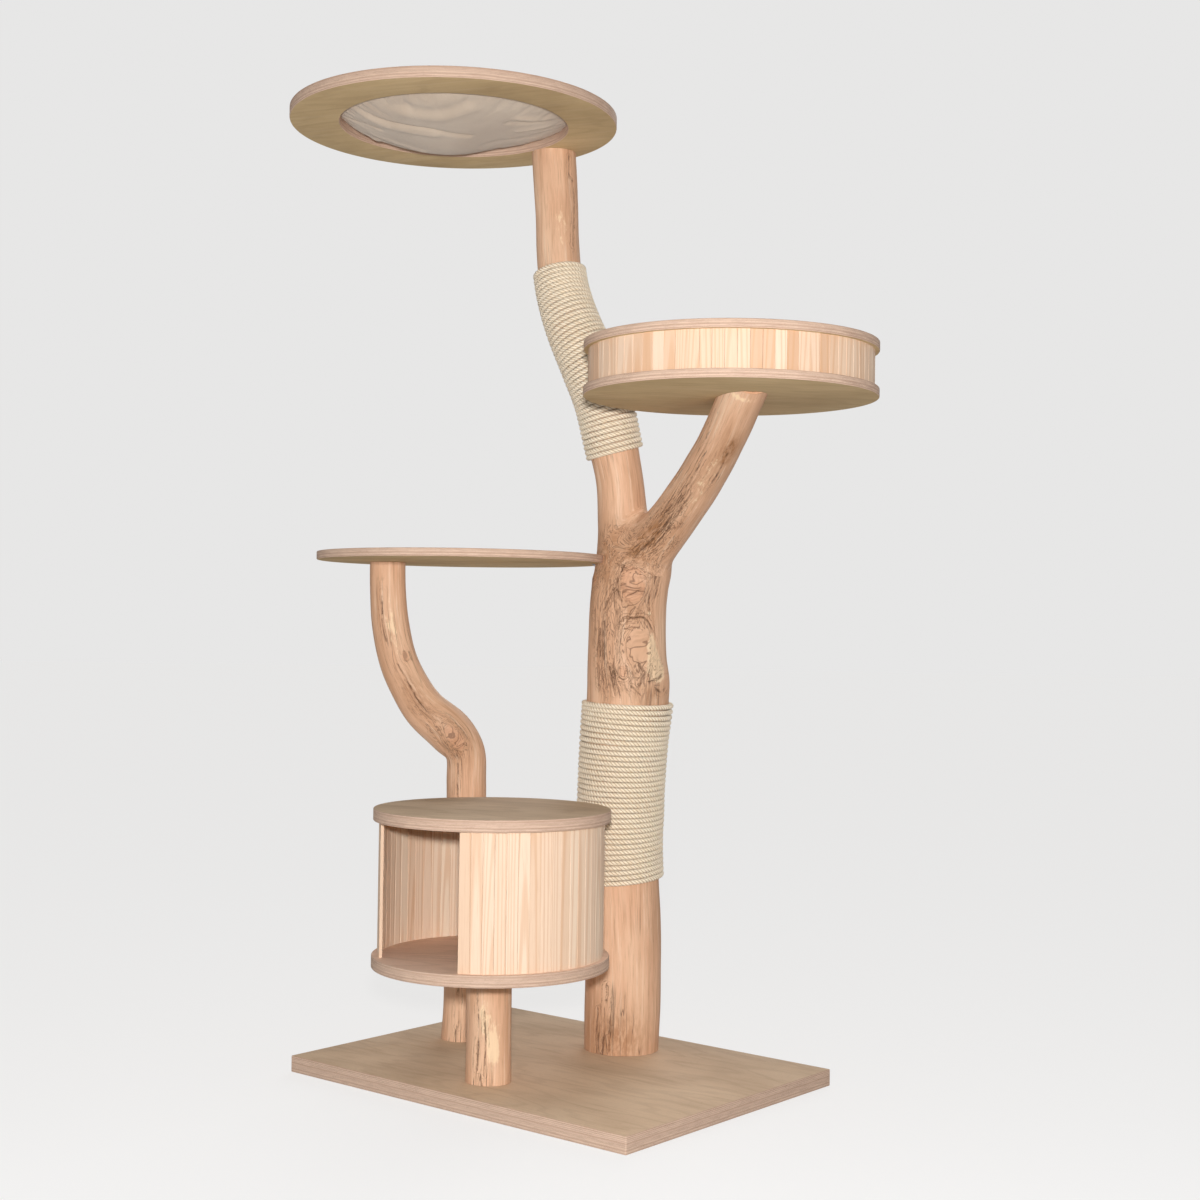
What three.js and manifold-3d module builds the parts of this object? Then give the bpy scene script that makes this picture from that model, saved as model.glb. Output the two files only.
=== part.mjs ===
// Cat tree of natural logs, plywood discs, slatted pine walls, sisal wraps and a canvas hammock.
// Millimetres, +Z up. The origin is the centre of the base plate's underside; +X runs along the
// plate's long side, and the cave's doorway faces -Y.
import * as THREE from 'three';
import { mergeVertices } from 'three/addons/utils/BufferGeometryUtils.js';
import Module from 'manifold-3d';

const wasm = await Module();
wasm.setup();

// ---- driving dimensions -------------------------------------------------------------------

const GAP = 0.3;            // clearance between pieces that touch
const EDGE = 1.5;           // chamfer on plywood edges
const FLAT_END = 400;       // half-size of the block that cuts a log square

const BASE = { width: 800, depth: 600, thickness: 30, corner: 3 };
const RING = { x: -145, y: -166, radius: 300, hole: 210, under: 1755, thickness: 20,
  grooveInner: 216.5, grooveOuter: 227.5, grooveDepth: 5 };
const TRAY = { x: 407, y: -53, radius: 250, under: 1226, plate: 15, height: 93,
  wallApothem: 242, rimInner: 215, staves: 76 };
const PLATFORM = { x: -219, y: -51, radius: 275, under: 956.5, thickness: 15 };
const CAVE = { x: 0, y: -190, radius: 210, under: 234, plate: 21, height: 278,
  wallApothem: 199.4, staves: 52, doorFrom: -123, doorTo: -63 };
const STAVE = { thickness: 6, groove: 5 };
const SISAL = { diameter: 9.6 };
const FACETS = { disc: 48, bolt: 12, screw: 8, nail: 6 };   // sides of each round

// Logs: [x, y, z, radius] along the pith, from the lower cut to past the upper one.
const TRUNK = [
  [11, 170, 10, 71.5], [15, 167, 120, 73], [17, 160, 270, 74], [16, 150, 430, 74],
  [25, 148, 610, 75], [32, 150, 700, 77], [32, 146, 780, 74], [34, 143, 877, 71.5],
  [38, 144, 935, 70.5], [33, 138, 981, 58], [30, 130, 1030, 48], [28, 120, 1116, 45],
  [19, 103, 1200, 46.3], [8, 91, 1267, 47], [-18, 76, 1343, 47.4], [-48, 65, 1413, 45],
  [-75, 64, 1485, 42.8], [-90, 68, 1557, 42.3], [-102, 77, 1641, 42.4], [-119, 84, 1757, 42.5],
  [-123, 87, 1790, 42.5],
];
const TRAY_BRANCH = [
  [36, 142, 880, 60], [46, 146, 934, 64], [70, 143, 978, 57], [133, 128, 1022, 45.5],
  [225, 85, 1083, 41.5], [284, 50, 1121, 40.4], [340, 11, 1158, 39.5], [389, -25, 1193, 39.3],
  [433, -59, 1226, 39], [476, -92, 1258, 39],
];
const CURVED_BRANCH = [
  [-270, 23, 10, 41.3], [-267, 24, 123, 41], [-265, 20, 400, 39.5], [-264, 17, 530, 38.5],
  [-267, 14, 590, 39], [-287, -5, 627, 44.5], [-323, -39, 672, 41.5], [-342, -59, 712, 38.5],
  [-360, -78, 765, 37], [-370, -92, 836, 35.7], [-371, -99, 900, 34.3], [-370, -103, 990, 34],
];
const FRONT_POST = [
  [-2, -189, 10, 41], [-1, -190, 90, 40.3], [-1, -191, 170, 40.3], [-2, -191, 250, 41],
];

// Knots: where the middle of each swelling sits on the bark line, and how wide and proud it is.
const TRUNK_KNOTS = [
  { z: 923, angle: -29, width: 30, height: 5 },
  { z: 812, angle: -38, width: 42, height: 4 },
  { z: 735, angle: 20, width: 34, height: 4 },
  { z: 928, angle: -122, width: 26, height: 4 },
];
const CURVED_KNOTS = [{ z: 618, angle: -25, width: 28, height: 4 }];

const TRUNK_LOG = { stations: TRUNK, knots: TRUNK_KNOTS, sides: 18, step: 38 };
const TRAY_LOG = { stations: TRAY_BRANCH, knots: [], sides: 16, step: 34 };
const CURVED_LOG = { stations: CURVED_BRANCH, knots: CURVED_KNOTS, sides: 16, step: 30 };
const POST_LOG = { stations: FRONT_POST, knots: [], sides: 16, step: 48 };

const LOWER_WRAP = { from: 351, to: 699 };       // heights between which the rope is wound
const UPPER_WRAP = { from: 1161, to: 1523 };

const HOOP = { radius: 222, wire: 3, sides: 8 };
const CANVAS = { sheet: 3, hem: 1.5, sag: 69, rim: 209, rings: 5 };

const WOOD_SCREW = { head: 5, sink: 3, shank: 2.4, tip: 6, socket: 1.9, socketDepth: 2.2 };
const NAIL = { head: 2.6, headHeight: 1, shank: 1.1, length: 26, tip: 3, inset: 1.2, mouth: 4 };
const ROPE_NAIL = { angle: 130, fromEnd: 24 };    // round the log from +X, and in from each rope end
const LAG = { head: 8.5, headHeight: 6, shank: 5, length: 92, tip: 8, inset: 1.2 };
const WASHER = { outer: 12, hole: 5.6, thickness: 2.5, pocket: 14, mouth: 20 };

// ---- finishes -----------------------------------------------------------------------------

function finish(color, roughness, metalness = 0) {
  return new THREE.MeshStandardMaterial({ color, roughness, metalness, flatShading: true });
}
const LOG_WOOD = finish('#d6aa84', 0.62);
const PLYWOOD = finish('#bb9c7c', 0.6);
const PINE = finish('#f0d2ab', 0.58);
const SISAL_ROPE = finish('#e0c8a8', 0.9);
const CANVAS_CLOTH = finish('#bcaa99', 0.92);
const ZINC_STEEL = finish('#b9bcc0', 0.35, 0.9);

// ---- closed meshes and booleans -----------------------------------------------------------

function meshFrom(points, triangles) {
  const geometry = new THREE.BufferGeometry();
  geometry.setAttribute('position', new THREE.Float32BufferAttribute(points, 3));
  geometry.setIndex(triangles);
  geometry.computeVertexNormals();
  return geometry;
}

function solid(geometry) {
  const bare = geometry.clone();
  bare.deleteAttribute('normal');
  bare.deleteAttribute('uv');
  const merged = mergeVertices(bare, 1e-4);
  return new wasm.Manifold(new wasm.Mesh({
    numProp: 3,
    vertProperties: new Float32Array(merged.attributes.position.array),
    triVerts: new Uint32Array(merged.index.array),
  }));
}

function geometryOf(manifold) {
  const mesh = manifold.getMesh();
  return meshFrom(Array.from(mesh.vertProperties), Array.from(mesh.triVerts));
}

function cut(geometry, tools) {
  let result = solid(geometry);
  for (const tool of tools) result = result.subtract(solid(tool));
  return geometryOf(result);
}

function between(geometry, low, high) {
  const block = new THREE.BoxGeometry(2 * FLAT_END, 2 * FLAT_END, high - low);
  block.translate(0, 0, (low + high) / 2);
  const reach = new THREE.Box3().setFromBufferAttribute(geometry.attributes.position);
  const middle = reach.getCenter(new THREE.Vector3());
  block.translate(middle.x, middle.y, 0);
  return geometryOf(solid(geometry).intersect(solid(block)));
}

function lathe(profile, segments) {
  const points = profile.map(([radius, height]) => new THREE.Vector2(radius, height));
  return new THREE.LatheGeometry(points, segments).rotateX(Math.PI / 2);
}

// ---- logs ---------------------------------------------------------------------------------

// The sections of a log: centre, two axes across the grain, and the radius at each angle.
// Growth is never quite round, so two slow lobes wander along the log.
function sections({ stations, knots, sides, step }, offset) {
  const pith = new THREE.CatmullRomCurve3(stations.map(([x, y, z]) => new THREE.Vector3(x, y, z)));
  const girth = new THREE.CatmullRomCurve3(
    stations.map((station) => new THREE.Vector3(station[3], 0, 0)), false, 'catmullrom');
  const count = Math.round(pith.getLength() / step);
  return Array.from({ length: count + 1 }, (_, index) => {
    const t = pith.getUtoTmapping(index / count);
    const centre = pith.getPoint(t);
    const along = pith.getTangent(t);
    const right = new THREE.Vector3(0, 1, 0).cross(along).normalize();
    const back = along.clone().cross(right);
    const radius = girth.getPoint(t).x;
    const ring = Array.from({ length: sides }, (_, side) => {
      const angle = (side / sides) * 2 * Math.PI;
      const lobes = 0.014 * Math.cos(2 * angle + 0.7 + centre.z / 210)
        + 0.009 * Math.cos(3 * angle - centre.z / 130);
      let bump = 0;
      for (const knot of knots) {
        const turn = angle - THREE.MathUtils.degToRad(knot.angle);
        const away = Math.hypot(radius * Math.sin(turn), centre.z - knot.z) / knot.width;
        if (Math.cos(turn) > 0) bump += knot.height * Math.exp(-away * away);
      }
      const reach = radius * (1 + lobes) + bump + offset;
      return centre.clone()
        .addScaledVector(right, reach * Math.cos(angle))
        .addScaledVector(back, reach * Math.sin(angle));
    });
    return { centre, ring };
  });
}

// Triangles joining neighbouring rings of points, given the number of the first point of each.
function skin(starts, sides, inward) {
  const triangles = [];
  for (let i = 0; i + 1 < starts.length; i += 1) {
    for (let side = 0; side < sides; side += 1) {
      const next = (side + 1) % sides;
      const [a, b] = [starts[i] + side, starts[i] + next];
      const [c, d] = [starts[i + 1] + next, starts[i + 1] + side];
      triangles.push(...(inward ? [a, c, b, a, d, c] : [a, b, c, a, c, d]));
    }
  }
  return triangles;
}

function log(shape, offset = 0) {
  const rows = sections(shape, offset);
  const { sides } = shape;
  const points = [rows[0].centre, ...rows.flatMap((row) => row.ring), rows.at(-1).centre];
  const starts = rows.map((_, index) => 1 + index * sides);
  const triangles = skin(starts, sides, false);
  for (let side = 0; side < sides; side += 1) {
    const next = (side + 1) % sides;
    triangles.push(0, starts[0] + next, starts[0] + side);
    triangles.push(points.length - 1, starts.at(-1) + side, starts.at(-1) + next);
  }
  return meshFrom(points.flatMap((point) => point.toArray()), triangles);
}

// The sections of a log from one height to another, with new ones at the ends.
function stretch(shape, offset, { from, to }) {
  const rows = sections(shape, offset);
  const at = (height) => {
    const above = rows.findIndex(({ centre }) => centre.z > height);
    const [low, high] = [rows[above - 1], rows[above]];
    const share = (height - low.centre.z) / (high.centre.z - low.centre.z);
    const ring = low.ring.map((point, side) => point.clone().lerp(high.ring[side], share));
    return { centre: low.centre.clone().lerp(high.centre, share), ring };
  };
  const inside = rows.filter(({ centre }) => centre.z > from + 1 && centre.z < to - 1);
  return [at(from), ...inside, at(to)];
}

// A hollow sleeve round a log: the envelope of the rope wound on it.
function sleeve(shape, span) {
  const inner = stretch(shape, GAP, span);
  const outer = stretch(shape, SISAL.diameter, span);
  const { sides } = shape;
  const points = [...outer, ...inner].flatMap((row) => row.ring.flatMap((point) => point.toArray()));
  const outerStarts = outer.map((_, index) => index * sides);
  const innerStarts = inner.map((_, index) => (outer.length + index) * sides);
  const triangles = [
    ...skin(outerStarts, sides, false),
    ...skin(innerStarts, sides, true),
    ...skin([outerStarts.at(-1), innerStarts.at(-1)], sides, false),
    ...skin([innerStarts[0], outerStarts[0]], sides, false),
  ];
  return meshFrom(points, triangles);
}

// ---- plywood ------------------------------------------------------------------------------

function disc({ x, y, radius }, under, thickness) {
  const top = under + thickness;
  const profile = [
    [0, under], [radius - EDGE, under], [radius, under + EDGE],
    [radius, top - EDGE], [radius - EDGE, top], [0, top],
  ];
  return lathe(profile, FACETS.disc).translate(x, y, 0);
}

function basePlate() {
  const { width, depth, thickness, corner } = BASE;
  const w = width / 2 - EDGE;
  const d = depth / 2 - EDGE;
  const outline = new THREE.Shape();
  outline.moveTo(corner - w, -d);
  outline.lineTo(w - corner, -d).absarc(w - corner, corner - d, corner, -Math.PI / 2, 0);
  outline.lineTo(w, d - corner).absarc(w - corner, d - corner, corner, 0, Math.PI / 2);
  outline.lineTo(corner - w, d).absarc(corner - w, d - corner, corner, Math.PI / 2, Math.PI);
  outline.lineTo(-w, corner - d).absarc(corner - w, corner - d, corner, Math.PI, 1.5 * Math.PI);
  const plate = new THREE.ExtrudeGeometry(outline, {
    depth: thickness - 2 * EDGE, bevelThickness: EDGE, bevelSize: EDGE, bevelSegments: 1,
    curveSegments: 2,
  });
  return plate.translate(0, 0, EDGE);
}

function hammockRing() {
  const { x, y, radius, hole, under, thickness, grooveInner, grooveOuter, grooveDepth } = RING;
  const top = under + thickness;
  const bottom = top - grooveDepth;
  const profile = [
    [hole, under], [radius - EDGE, under], [radius, under + EDGE], [radius, top - EDGE],
    [radius - EDGE, top], [grooveOuter, top], [grooveOuter, bottom], [grooveInner, bottom],
    [grooveInner, top], [hole, top], [hole, under],
  ];
  return lathe(profile, FACETS.disc).translate(x, y, 0);
}

// ---- slatted walls ------------------------------------------------------------------------

// A wall of flat staves standing edge to edge: outer flats touch a circle of the given apothem.
function staveOutline(apothem, staves, from, to, clearance) {
  const half = THREE.MathUtils.degToRad((to - from) / staves / 2);
  const outer = (apothem + clearance) / Math.cos(half);
  const inner = (apothem - STAVE.thickness - clearance) / Math.cos(half);
  const spread = THREE.MathUtils.radToDeg(clearance / apothem);
  const corner = (radius, index) => {
    const angle = THREE.MathUtils.degToRad(
      from - spread + ((to - from + 2 * spread) * index) / staves);
    return new THREE.Vector2(radius * Math.cos(angle), radius * Math.sin(angle));
  };
  const closed = to - from === 360;
  const numbers = Array.from({ length: closed ? staves : staves + 1 }, (_, index) => index);
  const outside = numbers.map((index) => corner(outer, index));
  const inside = numbers.map((index) => corner(inner, index));
  if (!closed) return new THREE.Shape([...outside, ...inside.reverse()]);
  const shape = new THREE.Shape(outside);
  shape.holes.push(new THREE.Path(inside.reverse()));
  return shape;
}

function staveWall({ x, y, wallApothem, staves }, from, to, low, high, clearance = 0) {
  const outline = staveOutline(wallApothem, staves, from, to, clearance);
  const wall = new THREE.ExtrudeGeometry(outline, { depth: high - low, bevelEnabled: false });
  return wall.translate(x, y, low);
}

const caveInside = { low: CAVE.under + CAVE.plate, high: CAVE.under + CAVE.height - CAVE.plate };
const trayInside = { low: TRAY.under + TRAY.plate, high: TRAY.under + TRAY.height - TRAY.plate };

function caveWall(clearance) {
  const deep = STAVE.groove - GAP + clearance;
  return staveWall(CAVE, CAVE.doorTo, CAVE.doorFrom + 360, caveInside.low - deep,
    caveInside.high + deep, clearance);
}

function trayWall(clearance) {
  const deep = STAVE.groove - GAP + clearance;
  return staveWall(TRAY, 0, 360, trayInside.low - deep, trayInside.high + deep, clearance);
}

function trayRim() {
  const { x, y, radius, rimInner, under, height } = TRAY;
  const top = under + height;
  const low = trayInside.high;
  const profile = [
    [rimInner, low], [radius - EDGE, low], [radius, low + EDGE], [radius, top - EDGE],
    [radius - EDGE, top], [rimInner + EDGE, top], [rimInner, top - EDGE], [rimInner, low],
  ];
  return lathe(profile, FACETS.disc).translate(x, y, 0);
}

// ---- canvas hammock -----------------------------------------------------------------------

const ringTop = RING.under + RING.thickness;
const hoopHeight = ringTop - RING.grooveDepth + HOOP.wire + CANVAS.hem + 2 * GAP;

function hoopPoint(distance, degrees) {
  const angle = THREE.MathUtils.degToRad(degrees);
  return [HOOP.radius + distance * Math.cos(angle), hoopHeight + distance * Math.sin(angle)];
}

function hammockHoop() {
  const corners = Array.from({ length: HOOP.sides + 1 }, (_, index) =>
    hoopPoint(HOOP.wire, (360 * index) / HOOP.sides));
  return lathe(corners, FACETS.disc).translate(RING.x, RING.y, 0);
}

// The sheet sags as a shallow bowl, passes over the ring's inner lip, and its hem wraps the hoop,
// leaving a slit above it.
function hammockCanvas() {
  const { sheet, hem, sag, rim, rings } = CANVAS;
  const under = ringTop + GAP;
  const near = HOOP.wire + GAP;
  const steps = Array.from({ length: rings + 1 }, (_, index) => index / rings);
  const bowl = (share, lift) => [rim * share, under - sag + sag * share * share + lift];
  const turns = [225, 270, 315, 360, 405, 450];
  const profile = [
    ...steps.map((share) => bowl(share, 0)),
    [RING.grooveInner, under],
    ...[190, ...turns].map((degrees) => hoopPoint(near + hem, degrees)),
    ...[...turns].reverse().map((degrees) => hoopPoint(near, degrees)),
    hoopPoint(near, 180),
    [RING.grooveInner, under + sheet],
    ...steps.slice().reverse().map((share) => bowl(share, sheet)),
  ];
  return lathe(profile, FACETS.disc).translate(RING.x, RING.y, 0);
}

// ---- fasteners ----------------------------------------------------------------------------

// Each is drawn pointing up +Z with its head's face at the origin, then set in place. A positive
// clearance gives the hole that it needs.
function woodScrew(length, clearance = 0) {
  const { head, sink, shank, tip, socket, socketDepth } = WOOD_SCREW;
  const c = clearance;
  const recess = c > 0 ? [[0, -c]] : [[0, socketDepth], [socket, socketDepth], [socket, 0]];
  const profile = [
    ...recess, [head + c, -c], [shank + c, sink], [shank + c, length - tip], [0, length + c],
  ];
  return lathe(profile, FACETS.screw);
}

function nail(clearance = 0) {
  const { head, headHeight, shank, length, tip } = NAIL;
  const c = clearance;
  const mouth = c > 0 ? NAIL.mouth : 0;
  const profile = [
    [0, -c - mouth], [head + c, -c - mouth], [head + c, headHeight + c],
    [shank + c, headHeight + c], [shank + c, length - tip], [0, length + c],
  ];
  return lathe(profile, FACETS.nail);
}

function lagShank(clearance = 0) {
  const { headHeight, shank, length, tip } = LAG;
  const c = clearance;
  const low = headHeight / 2;
  const profile = [[0, low], [shank + c, low], [shank + c, length - tip], [0, length + c]];
  return lathe(profile, FACETS.bolt);
}

function lagScrew() {
  const head = new THREE.CylinderGeometry(LAG.head, LAG.head, LAG.headHeight, 6);
  head.rotateX(Math.PI / 2).translate(0, 0, LAG.headHeight / 2);
  return geometryOf(solid(head).add(solid(lagShank())));
}

function washer() {
  const { outer, hole, thickness } = WASHER;
  const low = LAG.headHeight + GAP;
  const high = low + thickness;
  const profile = [[hole, low], [outer, low], [outer, high], [hole, high], [hole, low]];
  return lathe(profile, FACETS.bolt);
}

function washerPocket() {
  const high = LAG.headHeight + WASHER.thickness + 2 * GAP;
  const low = -WASHER.mouth;
  const profile = [[0, low], [WASHER.pocket, low], [WASHER.pocket, high], [0, high]];
  return lathe(profile, FACETS.bolt);
}

function place(geometry, { at, aim = [0, 0, -1] }) {
  const up = new THREE.Vector3(0, 0, 1);
  const turn = new THREE.Quaternion().setFromUnitVectors(up, new THREE.Vector3(...aim).normalize());
  return geometry.applyQuaternion(turn).translate(...at);
}

function circle([x, y], radius, count, start) {
  return Array.from({ length: count }, (_, index) => {
    const angle = THREE.MathUtils.degToRad(start + (360 * index) / count);
    return [x + radius * Math.cos(angle), y + radius * Math.sin(angle)];
  });
}

const sunk = 0.4;           // how far a screw's head lies under the plywood's face
function deckScrews(name, centre, radius, top, length, start) {
  return circle(centre, radius, 3, start).map(([x, y], index) => ({
    name: `${name}_${index + 1}`, length, at: [x, y, top - sunk],
  }));
}

const traySeat = [428, -55];
const stemSeat = [-119, 84];
const curvedSeat = [-370, -102];
const trayScrews = deckScrews('tray_screw', traySeat, 17, trayInside.low, 38, 20);
const ringScrews = deckScrews('ring_screw', stemSeat, 22, RING.under + RING.thickness, 60, 200);
const platformScrews = deckScrews('platform_screw', curvedSeat, 17,
  PLATFORM.under + PLATFORM.thickness, 50, 90);
const caveScrews = deckScrews('cave_screw', [CAVE.x, CAVE.y], 22, caveInside.low, 60, 30);

// One screw runs aslant from the platform's top into the trunk that it leans on.
const slantScrew = {
  name: 'platform_slant_screw', length: 55, at: [-34, 97, PLATFORM.under + PLATFORM.thickness - 1.5],
  aim: [0.75, 0.5, -0.8],
};

// Lag screws come up through the base plate, their heads and washers in pockets underneath.
function lags(name, centres) {
  return centres.map(([x, y], index) => ({
    name: `${name}_${index + 1}`, at: [x, y, LAG.inset], aim: [0, 0, 1],
  }));
}
const trunkLags = lags('trunk_lag', circle([12, 169], 38, 3, 90));
const postLags = lags('post_lag', [[-1, -189]]);
const curvedLags = lags('curved_branch_lag', [[-270, 23]]);
const allLags = [...trunkLags, ...postLags, ...curvedLags];

// A nail at each end of both ropes, driven into the back of the log.
function ropeNail(name, height) {
  const side = THREE.MathUtils.degToRad(ROPE_NAIL.angle);
  const row = sections(TRUNK_LOG, SISAL.diameter)
    .reduce((best, next) => (Math.abs(next.centre.z - height) < Math.abs(best.centre.z - height)
      ? next : best));
  const out = new THREE.Vector3(Math.cos(side), Math.sin(side), 0);
  const reach = Math.min(...row.ring.map((point) => point.distanceTo(row.centre)));
  const at = row.centre.clone().addScaledVector(out, reach - NAIL.inset);
  return { name, at: at.toArray(), aim: out.negate().toArray() };
}
const lowerNails = [
  ropeNail('lower_rope_nail_1', LOWER_WRAP.from + ROPE_NAIL.fromEnd),
  ropeNail('lower_rope_nail_2', LOWER_WRAP.to - ROPE_NAIL.fromEnd),
];
const upperNails = [
  ropeNail('upper_rope_nail_1', UPPER_WRAP.from + ROPE_NAIL.fromEnd),
  ropeNail('upper_rope_nail_2', UPPER_WRAP.to - ROPE_NAIL.fromEnd),
];

const screwHole = (screw) => place(woodScrew(screw.length, GAP), screw);
const nailHole = (spot) => place(nail(GAP), spot);
const lagHole = (lag) => place(lagShank(GAP), lag);
const lagPocket = (lag) => place(washerPocket(), lag);

// ---- the logs, cut square and drilled -----------------------------------------------------

const floor = BASE.thickness + GAP;

function mainTrunk() {
  const stem = between(log(TRUNK_LOG), floor, RING.under - GAP);
  const branch = between(log(TRAY_LOG), floor, TRAY.under - GAP);
  const forked = geometryOf(solid(stem).add(solid(branch)));
  const nails = [...lowerNails, ...upperNails].map(nailHole);
  const screws = [...trayScrews, ...ringScrews, slantScrew].map(screwHole);
  return cut(forked, [...trunkLags.map(lagHole), ...screws, ...nails]);
}

function curvedBranch() {
  const branch = between(log(CURVED_LOG), floor, PLATFORM.under - GAP);
  return cut(branch, [...curvedLags.map(lagHole), ...platformScrews.map(screwHole)]);
}

function frontPost() {
  const post = between(log(POST_LOG), floor, CAVE.under - GAP);
  return cut(post, [...postLags.map(lagHole), ...caveScrews.map(screwHole)]);
}

// The platform's edge is scribed to the trunk, which it leans on.
function midPlatform() {
  const blank = disc(PLATFORM, PLATFORM.under, PLATFORM.thickness);
  const scribed = [log(TRUNK_LOG, 2 * GAP), log(TRAY_LOG, 2 * GAP)];
  return cut(blank, [...scribed, ...[...platformScrews, slantScrew].map(screwHole)]);
}

// ---- assembly -----------------------------------------------------------------------------

const catTree = new THREE.Group();

function add(name, geometry, material) {
  const mesh = new THREE.Mesh(geometry, material);
  mesh.name = name;
  catTree.add(mesh);
}

const drilledBase = cut(basePlate(), [...allLags.map(lagHole), ...allLags.map(lagPocket)]);
add('base_plate', drilledBase, PLYWOOD);
add('main_trunk', mainTrunk(), LOG_WOOD);
add('curved_branch', curvedBranch(), LOG_WOOD);
add('front_post', frontPost(), LOG_WOOD);

add('lower_sisal_wrap', cut(sleeve(TRUNK_LOG, LOWER_WRAP), lowerNails.map(nailHole)), SISAL_ROPE);
add('upper_sisal_wrap', cut(sleeve(TRUNK_LOG, UPPER_WRAP), upperNails.map(nailHole)), SISAL_ROPE);

const caveFloor = disc(CAVE, CAVE.under, CAVE.plate);
const caveRoof = disc(CAVE, caveInside.high, CAVE.plate);
add('cave_floor', cut(caveFloor, [caveWall(GAP), ...caveScrews.map(screwHole)]), PLYWOOD);
add('cave_wall', caveWall(0), PINE);
add('cave_roof', cut(caveRoof, [caveWall(GAP)]), PLYWOOD);

add('mid_platform', midPlatform(), PLYWOOD);

const trayFloor = disc(TRAY, TRAY.under, TRAY.plate);
add('tray_floor', cut(trayFloor, [trayWall(GAP), ...trayScrews.map(screwHole)]), PLYWOOD);
add('tray_wall', trayWall(0), PINE);
add('tray_rim', cut(trayRim(), [trayWall(GAP)]), PLYWOOD);

add('hammock_ring', cut(hammockRing(), ringScrews.map(screwHole)), PLYWOOD);
add('hammock_canvas', hammockCanvas(), CANVAS_CLOTH);
add('hammock_hoop', hammockHoop(), ZINC_STEEL);

for (const lag of allLags) {
  add(lag.name, place(lagScrew(), lag), ZINC_STEEL);
  add(lag.name.replace('lag', 'washer'), place(washer(), lag), ZINC_STEEL);
}
for (const screw of [...trayScrews, ...ringScrews, ...platformScrews, ...caveScrews, slantScrew]) {
  add(screw.name, place(woodScrew(screw.length), screw), ZINC_STEEL);
}
for (const spot of [...lowerNails, ...upperNails]) {
  add(spot.name, place(nail(), spot), ZINC_STEEL);
}

export default catTree;
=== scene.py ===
# Looks of the cat tree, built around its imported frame: smooth logs with knots and cracks, plywood
# with veneered edges, separate pine staves, laid sisal rope, and a sagging canvas hammock.
# Metres, +Z up; the origin is the centre of the base plate's underside.
import math
import random
from contextlib import contextmanager

import bmesh
import bpy
import numpy as np
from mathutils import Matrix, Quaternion, Vector, noise


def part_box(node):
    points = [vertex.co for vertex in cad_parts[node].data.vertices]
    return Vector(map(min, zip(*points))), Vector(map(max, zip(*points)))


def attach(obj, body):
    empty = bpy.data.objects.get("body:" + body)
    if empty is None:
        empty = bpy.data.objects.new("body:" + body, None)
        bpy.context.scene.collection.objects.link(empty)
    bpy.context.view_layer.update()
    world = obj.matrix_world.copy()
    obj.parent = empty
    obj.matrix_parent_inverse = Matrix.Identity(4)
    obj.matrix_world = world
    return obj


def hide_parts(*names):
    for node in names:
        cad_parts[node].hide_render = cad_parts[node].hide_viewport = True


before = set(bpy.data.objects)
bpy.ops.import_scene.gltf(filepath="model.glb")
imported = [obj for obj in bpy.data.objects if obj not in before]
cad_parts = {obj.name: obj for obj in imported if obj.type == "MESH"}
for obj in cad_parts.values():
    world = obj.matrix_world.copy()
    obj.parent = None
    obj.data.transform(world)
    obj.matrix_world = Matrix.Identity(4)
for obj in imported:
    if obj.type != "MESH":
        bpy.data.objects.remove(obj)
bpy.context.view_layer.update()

MM = 0.001

# ---- sizes, beyond those that the frame's boxes give -----------------------------------------

CAMERA = {"at": (2.1822, -2.5416, 0.8269), "aim": (-0.6368, 0.7710), "pitch": 1.011,
          "roll": 0.8135, "lens": 54.09, "sensor": 36.0}
KEY = {"above_lens": 0.16, "aim": (0.05, 0.0, 0.85), "size": 0.14, "power": 88}
BACK = {"azimuth": math.radians(205), "elevation": math.radians(26), "power": 0.7,
        "softness": math.radians(34)}      # azimuth 0 faces -Y
AMBIENT = {"above": 0.33, "below": 0.46, "tint": (1.0, 0.985, 0.965, 1.0)}   # more from the floor
PALE = 0.80                 # how bright the floor and the backdrop look
FLOOR_SHADE = 0.16          # how much of the floor's brightness is reflected, and takes shadows
STAGE = 40.0                # half the floor's width
EDGE = 1.6 * MM             # rounding of the plywood's edges
VENEER = 1.45 * MM          # one layer of the plywood
DISC_SIDES = 240
LOG_SIDES, LOG_STEP = 104, 2.5 * MM
SCRIBE = {"centre": (-0.219, -0.051), "radius": 0.275, "from": 0.90, "to": 1.02, "room": 0.6 * MM}
FORK = {"stem_from": 0.012, "limb_from": 0.881, "grain_from": 0.880, "blend": 22 * MM,
        "foot": 0.95, "ease": 8,     # below the foot's height the limb eases away into the stem
        "voxel": 3.5 * MM, "press": 8 * MM,
        "beside": 0.19}              # the limb's end lies beyond this x, and none of the stem does
SISAL = {"radius": 4.9 * MM, "turn": 9.6 * MM, "lay": 21 * MM, "step": 2.35 * MM,
         "squeeze": 1.04, "gap": 0.2 * MM, "uneven": 0.14 * MM}
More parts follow.
